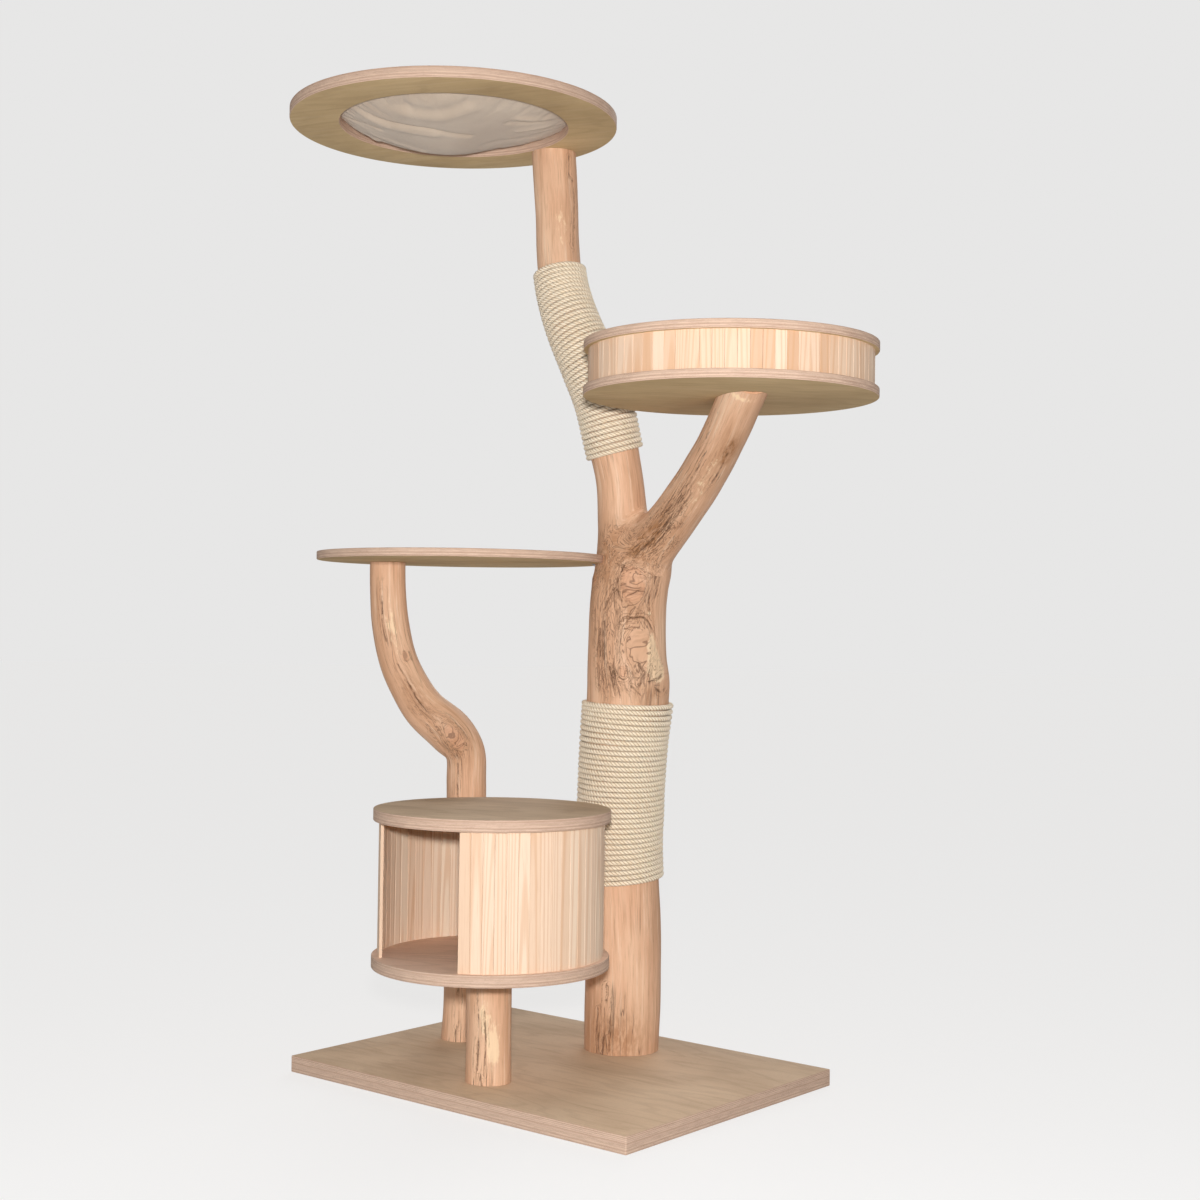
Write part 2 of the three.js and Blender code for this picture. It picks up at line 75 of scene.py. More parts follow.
# A third of the rope's outline: reach from its centre, and how near a strand's crown it is.
STRAND = [(1.0, 1.0), (0.94, 0.6), (0.64, 0.0), (0.94, 0.6)]
ROPE_START = math.radians(130)
ROPE_SPANS = {"lower": (0.351, 0.699), "upper": (1.161, 1.523)}
STAVE = {"thickness": 6 * MM, "joint": 0.12 * MM, "bevel": 0.5 * MM}
CAVE_STAVES = {"count": 52, "start": math.radians(-63), "sweep": math.radians(300),
               "apothem": 199.4 * MM, "floor": "cave_floor"}
TRAY_STAVES = {"count": 76, "start": 0.0, "sweep": math.radians(360), "apothem": 242 * MM,
               "floor": "tray_floor"}
TRAY_HOLE = 215 * MM
RING_HOLE = 210 * MM
GROOVE = {"inner": 216.5 * MM, "outer": 227.5 * MM, "depth": 5 * MM}
HOOP = {"radius": 222 * MM, "lift": 0.1 * MM, "hem": 3.9 * MM}
CANVAS = {"rim": 209 * MM, "edge": 214 * MM, "slack": 0.05, "thickness": 0.9 * MM, "rings": 34,
          "lift": 0.85 * MM, "frames": 70}
LOOSE_SIDE = np.array((-0.77, -0.64))      # toward this side the canvas has more slack
STITCH = {"count": 300, "in": 1.8 * MM, "length": 3.2 * MM, "thick": 0.42 * MM,
          "height": 2.25 * MM, "arch": 0.15 * MM}
SCREW = {"head": 5 * MM, "sink": 3 * MM, "shank": 2.4 * MM, "tip": 6 * MM, "socket": 1.8 * MM,
         "depth": 2.2 * MM}
SCREW_LENGTHS = {"tray": 38 * MM, "ring": 60 * MM, "platform": 50 * MM, "cave": 60 * MM}
LAG = {"pocket": 14 * MM, "deep": 9.1 * MM, "hole": 5.3 * MM}

# The hammock's shape beyond plain sag. Places are millimetres from the ring's centre, to the right
# and away, as the camera above looks at it; a crease has its line, its height and its width.
SHALLOW = {"from": -20, "to": 92, "share": 0.27}
LOW_POINT = {"at": (-32, 58), "depth": 7, "reach": 64}
CREASES = [
    ([(-171, -98), (-135, -80), (-87, -72), (-31, -62), (29, -19)], 5.0, 6.5),
    ([(-176, -84), (-138, -62), (-90, -52), (-34, -40)], -3.2, 11),
    ([(-191, -19), (-165, -25), (-135, -26)], 4.5, 7),
    ([(-197, 40), (-175, 50), (-150, 58)], -4.5, 9), ([(-150, 18), (-110, 38), (-63, 62)], -3.0, 9),
    ([(-87, -145), (-23, -140), (37, -162)], 3.4, 13),
    ([(-80, -122), (-20, -118), (44, -138)], -2.6, 14),
    ([(125, -75), (165, -48), (203, -20)], -4.2, 8), ([(105, -58), (150, -40), (186, -28)], 3.6, 8),
    ([(120, -10), (160, -6), (200, 6)], -3.0, 9), ([(60, 60), (110, 52), (160, 50)], 2.4, 13)]

# Logs: x, y, z and radius along the pith, in millimetres, as the frame's logs are drawn.
TRUNK = [
    (11, 170, 10, 71.5), (15, 167, 120, 73), (17, 160, 270, 74), (16, 150, 430, 74),
    (25, 148, 610, 75), (32, 150, 700, 77), (32, 146, 780, 74), (34, 143, 877, 71.5),
    (38, 144, 935, 70.5), (33, 138, 981, 58), (30, 130, 1030, 48), (28, 120, 1116, 45),
    (19, 103, 1200, 46.3), (8, 91, 1267, 47), (-18, 76, 1343, 47.4), (-48, 65, 1413, 45),
    (-75, 64, 1485, 42.8), (-90, 68, 1557, 42.3), (-102, 77, 1641, 42.4), (-119, 84, 1757, 42.5),
    (-123, 87, 1790, 42.5)]
TRAY_BRANCH = [
    (36, 142, 880, 60), (46, 146, 934, 64), (70, 143, 978, 57), (133, 128, 1022, 45.5),
    (225, 85, 1083, 41.5), (284, 50, 1121, 40.4), (340, 11, 1158, 39.5), (389, -25, 1193, 39.3),
    (433, -59, 1226, 39), (476, -92, 1258, 39)]
CURVED_BRANCH = [
    (-270, 23, 10, 41.3), (-267, 24, 123, 41), (-265, 20, 400, 39.5), (-264, 17, 530, 38.5),
    (-267, 14, 590, 39), (-287, -5, 627, 44.5), (-323, -39, 672, 41.5), (-342, -59, 712, 38.5),
    (-360, -78, 765, 37), (-370, -92, 836, 35.7), (-371, -99, 900, 34.3), (-370, -103, 990, 34)]
FRONT_POST = [(-2, -189, 10, 41), (-1, -190, 90, 40.3), (-1, -191, 170, 40.3), (-2, -191, 250, 41)]

# What is written on a log for its material, beside the grain; the stem and the limb of the trunk
# meet in the first three and blend in the rest.
LOG_MARKS = ("eye", "ring", "crack", "stain", "pale", "wild")

# Knots: height, angle round the log, radius of the grain's eye, width and height of the
# swelling, and how plainly a dark line closes round the eye.
TRUNK_KNOTS = [(923, -46, 24, 34, 4.5, 0.7), (797, -34, 24, 44, 4, 0), (757, -58, 7, 15, 1.5, 0.8),
               (735, 16, 13, 34, 4.5, 0.3), (928, -122, 14, 26, 0.8, 0.5), (480, 60, 9, 26, 2, 0.8)]
CURVED_KNOTS = [(618, -54, 13, 28, 3.5, 0.6), (770, -20, 7, 18, 1.5, 0.6),
                (300, -95, 8, 20, 1.5, 0.8)]
POST_KNOTS = [(120, 110, 8, 20, 1.5, 0.8)]
TRAY_KNOTS = [(1095, 60, 8, 20, 1.5, 0.8)]

# Open cracks: heights and angles along each, then its width. Angles run round the log's pith.
TRUNK_CRACKS = [
    ([(948, -62), (926, -70), (900, -68), (888, -62)], 2.0),
    ([(955, -60), (964, -50), (958, -34), (938, -22)], 1.6),
    ([(955, -8), (930, -12), (908, -16), (884, -20), (872, -18)], 2.2),
    ([(948, -2), (925, -4), (900, -8)], 1.6),
    ([(898, -52), (905, -42), (912, -34)], 1.6),
    ([(906, -76), (888, -82), (870, -90)], 2.0),
    ([(870, -90), (842, -93), (800, -94), (760, -92), (720, -88), (700, -86)], 1.5),
    ([(862, -87), (820, -88), (780, -87), (735, -84), (700, -80)], 1.4),
    ([(830, -98), (780, -100), (730, -98)], 1.4),
    ([(851, -60), (857, -54), (856, -42), (858, -26), (848, -18), (836, -12)], 1.7),
    ([(836, -52), (838, -46), (838, -40)], 2.0),
    ([(828, -60), (800, -62), (778, -62), (764, -66), (748, -64), (742, -57), (750, -51),
      (768, -53)], 1.2),
    ([(768, -34), (760, -32), (756, -28)], 1.6),
    ([(728, -46), (719, -39), (712, -33)], 1.4),
    ([(736, -22), (738, -10), (746, 4)], 2.2),
    ([(722, -8), (716, 2), (724, 12)], 1.8),
    ([(757, -72), (735, -68), (708, -62)], 1.6),
    ([(766, -78), (744, -75), (712, -70)], 1.4),
    ([(165, -74), (120, -76), (72, -80), (34, -82)], 2.4),
    ([(140, -66), (96, -70), (52, -70)], 1.6),
    ([(118, -90), (70, -94), (34, -92)], 1.8),
    ([(1690, 2), (1648, 5), (1590, -2), (1556, -6)], 1.8),
    ([(1735, -8), (1690, -10), (1655, -7)], 1.4),
    ([(330, 100), (240, 104), (130, 98)], 2.2),
]
TRAY_CRACKS = [
    ([(1004, -66), (1050, -62), (1100, -62)], 1.8), ([(1012, -52), (1052, -50), (1086, -52)], 1.4),
    ([(1070, -74), (1120, -72), (1160, -72)], 1.6), ([(998, -80), (1034, -78), (1074, -80)], 1.6),
    ([(1130, -20), (1150, -18), (1172, -20)], 1.6),
]
CURVED_CRACKS = [
    ([(900, -62), (850, -66), (800, -64)], 1.6), ([(760, -52), (715, -48), (670, -54)], 1.8),
    ([(590, -70), (520, -72), (440, -68)], 1.6), ([(230, -60), (150, -64), (60, -60)], 1.8),
]
POST_CRACKS = [
    ([(200, -76), (130, -72), (60, -76)], 1.8), ([(160, -58), (100, -55), (50, -58)], 1.4),
]

# Stains and worn patches: height, angle, size along and across, strength.
TRUNK_STAINS = [(64, -60, 50, 60, 0.8), (900, -44, 26, 30, 0.4), (965, -92, 60, 30, 0.9),
                (860, -36, 22, 36, 0.5), (1000, -55, 40, 24, 0.7), (714, -20, 18, 40, 0.6)]
TRAY_STAINS = [(1176, -18, 20, 12, 1.3), (1166, -19, 8, 7, 1.0), (1030, -74, 40, 16, 0.8),
               (990, -70, 50, 40, 0.7)]
CURVED_STAINS = [(700, -50, 60, 24, 0.6), (600, -60, 26, 26, 0.6)]
POST_STAINS = [(215, -50, 24, 60, 0.6)]
TRUNK_PALES = [(800, -14, 26, 9, 1.2), (770, -8, 24, 15, 1.3), (750, -4, 16, 20, 1.1),
               (866, -17, 5, 5, 0.9), (1600, -40, 60, 16, 0.4)]
TRAY_PALES = [(1246, -56, 5, 50, 0.5), (1120, -40, 60, 14, 0.4)]
CURVED_PALES = [(830, -40, 60, 14, 0.5)]
POST_PALES = [(100, -36, 40, 12, 0.9), (150, -60, 30, 10, 0.7)]
# Where the grain runs wild, with many dark lines close together.
TRUNK_WILDS = [(860, -45, 75, 62, 1.0), (745, -30, 60, 70, 0.9), (980, -60, 70, 60, 1.3),
               (820, -92, 130, 26, 0.9), (90, -66, 60, 60, 0.5), (920, -120, 60, 50, 0.8)]
TRAY_WILDS = [(1000, -60, 60, 60, 1.4), (1080, -66, 70, 26, 0.8), (1178, -18, 30, 26, 0.5)]
CURVED_WILDS = [(700, -60, 90, 40, 0.6), (500, -90, 120, 30, 0.5), (620, -60, 40, 40, 0.8)]
POST_WILDS = [(130, -70, 70, 30, 0.6)]


# ---- meshes ----------------------------------------------------------------------------------

def link(mesh, name):
    made = bpy.data.objects.new(name, mesh)
    bpy.context.scene.collection.objects.link(made)
    return made


def build(name, points, faces, materials, smooth=True):
    mesh = bpy.data.meshes.new(name)
    mesh.from_pydata(np.asarray(points, float).tolist(), [], faces)
    for material in materials:
        mesh.materials.append(material)
    mesh.polygons.foreach_set("use_smooth", [smooth] * len(mesh.polygons))
    mesh.update()
    return link(mesh, name)


def positions(mesh):
    flat = np.empty(len(mesh.vertices) * 3, np.float32)
    mesh.vertices.foreach_get("co", flat)
    return flat.reshape(-1, 3).astype(float)


def write_vectors(mesh, name, values):
    layer = mesh.attributes.get(name) or mesh.attributes.new(name, "FLOAT_VECTOR", "POINT")
    layer.data.foreach_set("vector", np.asarray(values, np.float32).ravel())


def write_numbers(mesh, name, values):
    layer = mesh.attributes.get(name) or mesh.attributes.new(name, "FLOAT", "POINT")
    layer.data.foreach_set("value", np.asarray(values, np.float32).ravel())


def grid_faces(rows, columns, start=0):
    """Quads between neighbouring rings of points."""
    faces = []
    for row in range(rows - 1):
        low, high = start + row * columns, start + (row + 1) * columns
        for column in range(columns):
            after = (column + 1) % columns
            faces.append((low + column, low + after, high + after, high + column))
    return faces


def tube_faces(rows, columns, start=0):
    """Quads between neighbouring rings, and one face over each end."""
    last = start + (rows - 1) * columns
    return grid_faces(rows, columns, start) + [tuple(range(start, start + columns))[::-1],
                                               tuple(range(last, last + columns))]


def hoop_faces(rows, columns):
    """Quads between neighbouring rings, and between the last and the first."""
    last = (rows - 1) * columns
    return grid_faces(rows, columns) + [(last + i, last + (i + 1) % columns, (i + 1) % columns, i)
                                        for i in range(columns)]


def circle(sides):
    return np.arange(sides) * (2 * math.pi / sides)


def unit(vectors):
    return vectors / np.linalg.norm(vectors, axis=1)[:, None]


def middle(node):
    """The centre of a CAD node's box, seen from above, at the height of its top."""
    low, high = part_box(node)
    return Vector(((low.x + high.x) / 2, (low.y + high.y) / 2, high.z))


@contextmanager
def reshaping(mesh):
    """The mesh as a bmesh, written back at the end."""
    shaped = bmesh.new()
    shaped.from_mesh(mesh)
    yield shaped
    shaped.to_mesh(mesh)
    shaped.free()


def shade_by_angle(piece, degrees):
    """Smooth shading, with sharp edges where faces meet at more than the angle."""
    mesh = piece.data
    with reshaping(mesh) as shaped:
        for edge in shaped.edges:
            edge.smooth = (len(edge.link_faces) == 2
                           and edge.calc_face_angle(0.0) < math.radians(degrees))
    mesh.polygons.foreach_set("use_smooth", [True] * len(mesh.polygons))


def apply_modifiers(piece):
    graph = bpy.context.evaluated_depsgraph_get()
    mesh = bpy.data.meshes.new_from_object(piece.evaluated_get(graph))
    piece.modifiers.clear()
    piece.data = mesh


def carve(piece, cutters):
    """Cuts each cutter out of the piece, and removes it."""
    for cutter in cutters:
        change = piece.modifiers.new("carve", "BOOLEAN")
        change.operation, change.solver, change.object = "DIFFERENCE", "EXACT", cutter
        change.material_mode = "INDEX"
    apply_modifiers(piece)
    for cutter in cutters:
        bpy.data.objects.remove(cutter)


def finish_piece(piece, slot, body, *nodes):
    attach(piece, body)
    if nodes:
        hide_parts(*nodes)
    return piece


# ---- materials -------------------------------------------------------------------------------

def paint(red, green, blue):
    """A colour given as a screen shows it, 0 to 255, as the shader's linear one."""
    parts = [value / 255 for value in (red, green, blue)]
    linear = [p / 12.92 if p <= 0.04045 else ((p + 0.055) / 1.055) ** 2.4 for p in parts]
    return (*linear, 1.0)


class Finish:
    """A node material put together by short calls, each returning the socket that it makes."""

    def __init__(self, name, on_grain=True):
        self.material = bpy.data.materials.new(name)
        self.material.use_nodes = True
        self.nodes = self.material.node_tree.nodes
        self.links = self.material.node_tree.links
        self.shader = self.nodes["Principled BSDF"]
        self.grain = self.read("grain") if on_grain else None

    def node(self, kind, inputs, output=0, **settings):
        made = self.nodes.new(kind)
        for key, value in settings.items():
            setattr(made, key, value)
        for key, value in inputs.items():
            self.feed(made.inputs[key], value)
        return made.outputs[output]

    def feed(self, socket, value):
        if isinstance(value, bpy.types.NodeSocket):
            self.links.new(value, socket)
        else:
            socket.default_value = value

    def read(self, attribute, output="Vector"):
        return self.node("ShaderNodeAttribute", {}, output, attribute_name=attribute)

    def stretch(self, vector, *scale):
        return self.node("ShaderNodeVectorMath", {0: vector, 1: scale}, operation="MULTIPLY")

    def noise(self, vector, detail=2.0, roughness=0.5, distortion=0.0, scale=1.0):
        return self.node("ShaderNodeTexNoise", {"Vector": vector, "Scale": scale, "Detail": detail,
                         "Roughness": roughness, "Distortion": distortion}, "Fac")

    def figure(self, x, y, z, *settings):
        """Noise over the piece's own coordinates, this many times finer along each."""
        return self.noise(self.stretch(self.grain, x, y, z), *settings)

    def math(self, operation, first, second=0.0):
        return self.node("ShaderNodeMath", {0: first, 1: second}, operation=operation)

    def times(self, first, second):
        return self.math("MULTIPLY", first, second)

    def plus(self, first, second):
        return self.math("ADD", first, second)

    def centred(self, value, middle=0.5):
        return self.math("SUBTRACT", value, middle)

    def off(self, value, middle=0.5):
        """How far the value is from the middle, either way."""
        return self.math("ABSOLUTE", self.centred(value, middle))

    def remap(self, value, low, high, start=0.0, end=1.0):
        return self.node("ShaderNodeMapRange", {"Value": value, "From Min": low, "From Max": high,
                         "To Min": start, "To Max": end}, interpolation_type="SMOOTHSTEP")

    def ramp(self, value, *stops):
        made = self.nodes.new("ShaderNodeValToRGB")
        elements = made.color_ramp.elements
        while len(elements) < len(stops):
            elements.new(0.5)
        for element, (place, colour) in zip(elements, stops):
            element.position, element.color = place, colour
        self.links.new(value, made.inputs[0])
        return made.outputs[0]

    def tint(self, colour, factor, red, green, blue):
        """The colour, turned towards another by the factor."""
        return self.node("ShaderNodeMix", {0: factor, 6: colour, 7: paint(red, green, blue)}, 2,
                         data_type="RGBA")

    def bump(self, height, distance, strength=1.0):
        return self.node("ShaderNodeBump", {"Height": height, "Distance": distance,
                         "Strength": strength})

    def done(self, colour, roughness, normal, **fixed):
        self.feed(self.shader.inputs["Base Color"], colour)
        self.feed(self.shader.inputs["Roughness"], roughness)
        self.feed(self.shader.inputs["Normal"], normal)
        for key, value in fixed.items():
            self.shader.inputs[key.replace("_", " ")].default_value = value
        return self.material


def log_wood():
    """Bare, sanded hardwood: soft long streaks, fine fibres, dark checks, eyed knots and stains."""
    f = Finish("log_wood")
    wild = f.read("wild", "Fac")
    slow = f.figure(15, 15, 3.2, 3, 0.55)
    streak = f.figure(120, 120, 5, 4, 0.6, 0.4)
    fibre = f.figure(620, 620, 24, 3, 0.6)
    fine = f.figure(170, 170, 60, 4, 0.6)
    colour = f.ramp(slow, (0.28, paint(201, 155, 121)), (0.5, paint(223, 178, 145)),
                    (0.72, paint(238, 200, 168)))
    colour = f.tint(colour, f.remap(streak, 0.5, 0.74, 0, 0.5), 170, 122, 88)
    colour = f.tint(colour, f.remap(streak, 0.46, 0.3, 0, 0.5), 245, 217, 189)
    colour = f.tint(colour, f.remap(fibre, 0.5, 0.76, 0, 0.36), 142, 100, 70)
    stained = f.times(f.read("stain", "Fac"), f.remap(fine, 0.36, 0.6, 0.45, 1))
    colour = f.tint(colour, stained, 166, 118, 80)
    # bare sapwood shows through with a ragged edge
    ragged = f.plus(f.read("pale", "Fac"), f.times(f.centred(fine), 1.3))
    colour = f.tint(colour, f.remap(ragged, 0.3, 0.62, 0, 0.72), 250, 222, 184)
    # a knot's eye: blotched wood with faint rings, and a dark line that closes round it
    eye = f.plus(f.read("eye", "Fac"), f.times(f.centred(fine), 0.5))
    plain = f.read("ring", "Fac")
    inside = f.times(f.remap(eye, 1.1, 0.85), plain)
    blotch = f.figure(120, 120, 120, 4, 0.7)
    rings = f.math("SINE", f.times(eye, 24))
    colour = f.tint(colour, f.times(inside, 0.4), 222, 158, 122)
    colour = f.tint(colour, f.times(inside, f.remap(rings, 0.2, 1, 0, 0.25)), 150, 100, 70)
    colour = f.tint(colour, f.times(inside, f.remap(blotch, 0.5, 0.68, 0, 0.5)), 140, 96, 68)
    closing = f.times(plain, f.remap(f.off(eye, 1.02), 0.12, 0.02))
    closing = f.times(closing, f.remap(blotch, 0.46, 0.6))
    # hairline checks follow the grain where a slow patch, or wild grain, lets them open
    thread = f.figure(62, 62, 2.4, 3, 0.55, 0.5)
    patch = f.remap(f.figure(9, 9, 4, 2), 0.5, 0.64)
    check = f.times(f.remap(f.off(thread), 0.014, 0.004), patch)
    tangle = f.figure(78, 78, 13, 3, 0.6, 0.8)
    snarl = f.off(f.math("FRACT", f.times(tangle, 9)))
    tangled = f.remap(f.times(wild, f.figure(36, 36, 20, 3)), 0.2, 0.44)
    snarl = f.times(f.remap(snarl, 0.16, 0.03), tangled)
    colour = f.tint(colour, f.times(wild, 0.15), 176, 132, 98)
    colour = f.tint(colour, f.times(check, 0.7), 92, 64, 45)
    colour = f.tint(colour, f.times(snarl, 0.62), 104, 74, 53)
    # the open cracks: a restless signed distance crosses nought along each
    wander = f.figure(150, 150, 70, 4, 0.65)
    signed = f.plus(f.read("crack", "Fac"), f.times(f.centred(wander), 9 * MM))
    apart = f.math("ABSOLUTE", signed)
    near = f.read("near_crack", "Fac")
    gap = f.remap(f.figure(80, 80, 40, 3), 0.44, 0.58, 0.1, 1)
    crack = f.times(f.times(near, gap), f.remap(apart, 0.95 * MM, 0.2 * MM))
    crack = f.math("MAXIMUM", crack, f.times(closing, 0.5))
    # wrinkles that echo a crack on both sides
    echo = f.math("SINE", f.times(apart, 900))
    beside = f.remap(f.math("ABSOLUTE", f.read("crack", "Fac")), 20 * MM, 4 * MM)
    fold = f.times(f.remap(echo, 0.72, 0.99), beside)
    fold = f.times(fold, f.remap(f.figure(50, 50, 22, 3), 0.4, 0.58))
    colour = f.tint(colour, f.times(fold, 0.6), 124, 86, 60)
    # the wood is darkened for up to 5 mm either side of each open crack
    darker_beside_crack = f.times(f.times(near, gap), f.remap(apart, 5 * MM, 0, 0, 0.4))
    colour = f.tint(colour, darker_beside_crack, 128, 90, 64)
    colour = f.tint(colour, f.times(crack, 0.82), 78, 56, 43)
    creases = f.plus(fold, f.plus(check, snarl))
    height = f.centred(f.times(fibre, 0.4), f.plus(crack, f.times(creases, 0.6)))
    return f.done(colour, f.remap(streak, 0.3, 0.7, 0.52, 0.7), f.bump(height, 1.2 * MM, 0.8),
                  Specular_IOR_Level=0.3)


def plywood_face(name, dark, mean, light):
    """Sanded birch veneer: a faint cathedral figure, short pores and cloudy toning."""
    f = Finish(name)
    cloud = f.figure(5, 8, 5, 3, 0.5)
    warp = f.figure(2.2, 7, 2, 2)
    figure = f.math("SINE", f.plus(f.times(warp, 60), f.times(f.figure(3, 40, 3, 2), 8)))
    pores = f.figure(110, 900, 110, 3, 0.6)
    band = f.figure(7, 120, 7, 3, 0.55)
    colour = f.ramp(cloud, (0.3, paint(*dark)), (0.52, paint(*mean)), (0.74, paint(*light)))
    colour = f.tint(colour, f.remap(figure, 0.2, 1, 0, 0.12), 150, 118, 88)
    colour = f.tint(colour, f.remap(band, 0.52, 0.72, 0, 0.13), 150, 120, 92)
    colour = f.tint(colour, f.remap(band, 0.46, 0.32, 0, 0.13), 220, 196, 168)
    colour = f.tint(colour, f.remap(pores, 0.56, 0.74, 0, 0.26), 128, 96, 68)
    return f.done(colour, f.remap(band, 0.3, 0.7, 0.74, 0.82), f.bump(pores, 0.25 * MM, 0.5),
                  Specular_IOR_Level=0.18)


def plywood_edge():
    """Sawn and sanded layers: pinkish veneers, thin glue lines that waver, one or two dark ones."""
    f = Finish("plywood_edge")
    split = f.node("ShaderNodeSeparateXYZ", {0: f.grain}, 2)
    waver = f.figure(26, 26, 60, 2)
    layer = f.math("DIVIDE", f.plus(split, f.times(f.centred(waver), 1.1 * MM)), VENEER)
    share = f.math("FRACT", layer)
    number = f.node("ShaderNodeTexWhiteNoise", {"W": f.math("FLOOR", layer)}, "Value",
                    noise_dimensions="1D")
    glue = f.remap(f.off(share), 0.33, 0.44)
    speck = f.figure(700, 700, 900, 2)
    run = f.figure(30, 30, 1400, 3, 0.6)
    colour = f.ramp(number, (0.1, paint(198, 164, 143)), (0.5, paint(213, 182, 160)),
                    (0.9, paint(228, 200, 177)))
    colour = f.tint(colour, f.remap(run, 0.5, 0.72, 0, 0.35), 168, 130, 108)
    colour = f.tint(colour, f.remap(speck, 0.52, 0.7, 0, 0.25), 160, 120, 98)
    broken = f.remap(f.figure(34, 34, 300, 3, 0.6), 0.42, 0.6, 0.3, 1)
    line = f.times(broken, f.remap(number, 0.1, 0.8, 0.2, 1.0))
    colour = f.tint(colour, f.times(glue, line), 128, 84, 64)
    height = f.math("SUBTRACT", f.times(speck, 0.3), glue)
    return f.done(colour, 0.66, f.bump(height, 0.3 * MM, 0.6), Specular_IOR_Level=0.3)


def pine():
    """Planed pine staves: straight or arched rings, each board with a tone of its own."""
    f = Finish("pine_staves")
    tone = f.read("tone", "Fac")
    wander = f.figure(16, 16, 1.1, 2)
    flat = f.node("ShaderNodeVectorMath", {0: f.stretch(f.grain, 1, 1, 0.02)}, "Value",
                  operation="LENGTH")
    rings = f.plus(f.times(flat, 2500), f.times(wander, 9))
    late = f.remap(f.math("SINE", rings), 0.0, 1.0)
    fibre = f.figure(800, 800, 16, 3, 0.6)
    colour = f.ramp(tone, (0.0, paint(216, 176, 144)), (0.35, paint(230, 198, 170)),
                    (0.7, paint(238, 210, 185)), (1.0, paint(242, 219, 194)))
    colour = f.tint(colour, f.times(late, 0.42), 212, 162, 120)
    colour = f.tint(colour, f.remap(fibre, 0.5, 0.74, 0, 0.34), 202, 156, 118)
    return f.done(colour, f.remap(late, 0, 1, 0.56, 0.48), f.bump(late, 0.18 * MM, 0.5),
                  Specular_IOR_Level=0.35)


def sisal():
    """Cream rope fibre with dull and bright hairs, and painted shade between the strands."""
    f = Finish("sisal")
    crown = f.read("crown", "Fac")
    fibre = f.figure(2.2, 1.6, 1.6, 4, 0.65)
    slow = f.figure(0.12, 0.05, 0.05, 3)
    colour = f.ramp(fibre, (0.28, paint(238, 214, 180)), (0.5, paint(252, 238, 215)),
                    (0.72, paint(255, 250, 238)))
    colour = f.tint(colour, f.remap(slow, 0.45, 0.7, 0, 0.22), 222, 194, 154)
    # painted shade: the valleys between the strands, away from each crown, are darkened
    colour = f.tint(colour, f.remap(crown, 0.6, 0.0, 0, 0.72), 172, 138, 94)
    return f.done(colour, 0.86, f.bump(fibre, 0.5 * MM, 0.7), Specular_IOR_Level=0.2,
                  Sheen_Weight=0.12)


def canvas():
    """Plain-woven cotton canvas: crossing threads, slubs and a soft sheen."""
    f = Finish("canvas")
    warp = f.node("ShaderNodeTexWave", {"Vector": f.grain, "Scale": 420, "Distortion": 0.6,
                  "Detail": 1}, "Fac", bands_direction="X")
    weft = f.node("ShaderNodeTexWave", {"Vector": f.grain, "Scale": 420, "Distortion": 0.6,
                  "Detail": 1}, "Fac", bands_direction="Y")
    weave = f.times(warp, weft)
    slub = f.figure(30, 700, 1, 3, 0.6)
    slub_across = f.figure(700, 30, 1, 3, 0.6)
    cloud = f.figure(9, 9, 9, 3)
    colour = f.ramp(cloud, (0.3, paint(204, 185, 166)), (0.7, paint(222, 205, 186)))
    colour = f.tint(colour, f.remap(slub, 0.54, 0.72, 0, 0.22), 160, 140, 120)
    colour = f.tint(colour, f.remap(slub_across, 0.56, 0.74, 0, 0.2), 232, 218, 200)
    colour = f.tint(colour, f.remap(weave, 0.0, 0.5, 0.3, 0), 150, 130, 110)
    return f.done(colour, 0.92, f.bump(weave, 0.3 * MM, 0.5), Specular_IOR_Level=0.15,
                  Sheen_Weight=0.3)


def zinc():
    """Zinc-plated steel, dulled and finely scratched."""
    f = Finish("zinc_steel", False)
    place = f.node("ShaderNodeTexCoord", {}, "Object")
    cloud = f.noise(place, 3, 0.6, 0, 260)
    scratch = f.noise(f.stretch(place, 300, 2600, 300), 2)
    colour = f.ramp(cloud, (0.3, paint(150, 152, 156)), (0.7, paint(200, 202, 205)))
    return f.done(colour, f.remap(scratch, 0.3, 0.7, 0.26, 0.46), f.bump(scratch, 0.05 * MM, 0.3),
                  Metallic=0.9)


def thread():
    """Waxed stitching thread."""
    f = Finish("thread", False)
    twist = f.noise(f.stretch(f.node("ShaderNodeTexCoord", {}, "Object"), 1, 1, 1), 2, 0.5, 0, 1800)
    colour = f.ramp(twist, (0.3, paint(196, 178, 152)), (0.7, paint(232, 218, 196)))
    return f.done(colour, 0.7, f.bump(twist, 0.1 * MM, 0.5))


LOG = log_wood()
FACE = plywood_face("plywood_face", (197, 174, 147), (213, 190, 163), (223, 201, 175))
BASE_FACE = plywood_face("base_face", (203, 176, 147), (217, 190, 161), (226, 200, 171))
# a pinker copy of the plywood face; its extra lightness is painted light on the cave's floor, which
# the roof shades
LIT_CAVE_FACE = plywood_face("cave_floor_face_painted_light", (224, 188, 164), (234, 199, 176), (242, 209, 187))
# painted shade: the undersides get a darker, yellower copy of the same birch veneer
SHADED_UNDER_FACE = plywood_face("under_face_painted_shade", (190, 163, 122), (206, 179, 136), (217, 190, 147))
EDGE_WOOD = plywood_edge()
PINE = pine()
ROPE = sisal()
CLOTH = canvas()
STEEL = zinc()
THREAD = thread()


# ---- logs ------------------------------------------------------------------------------------

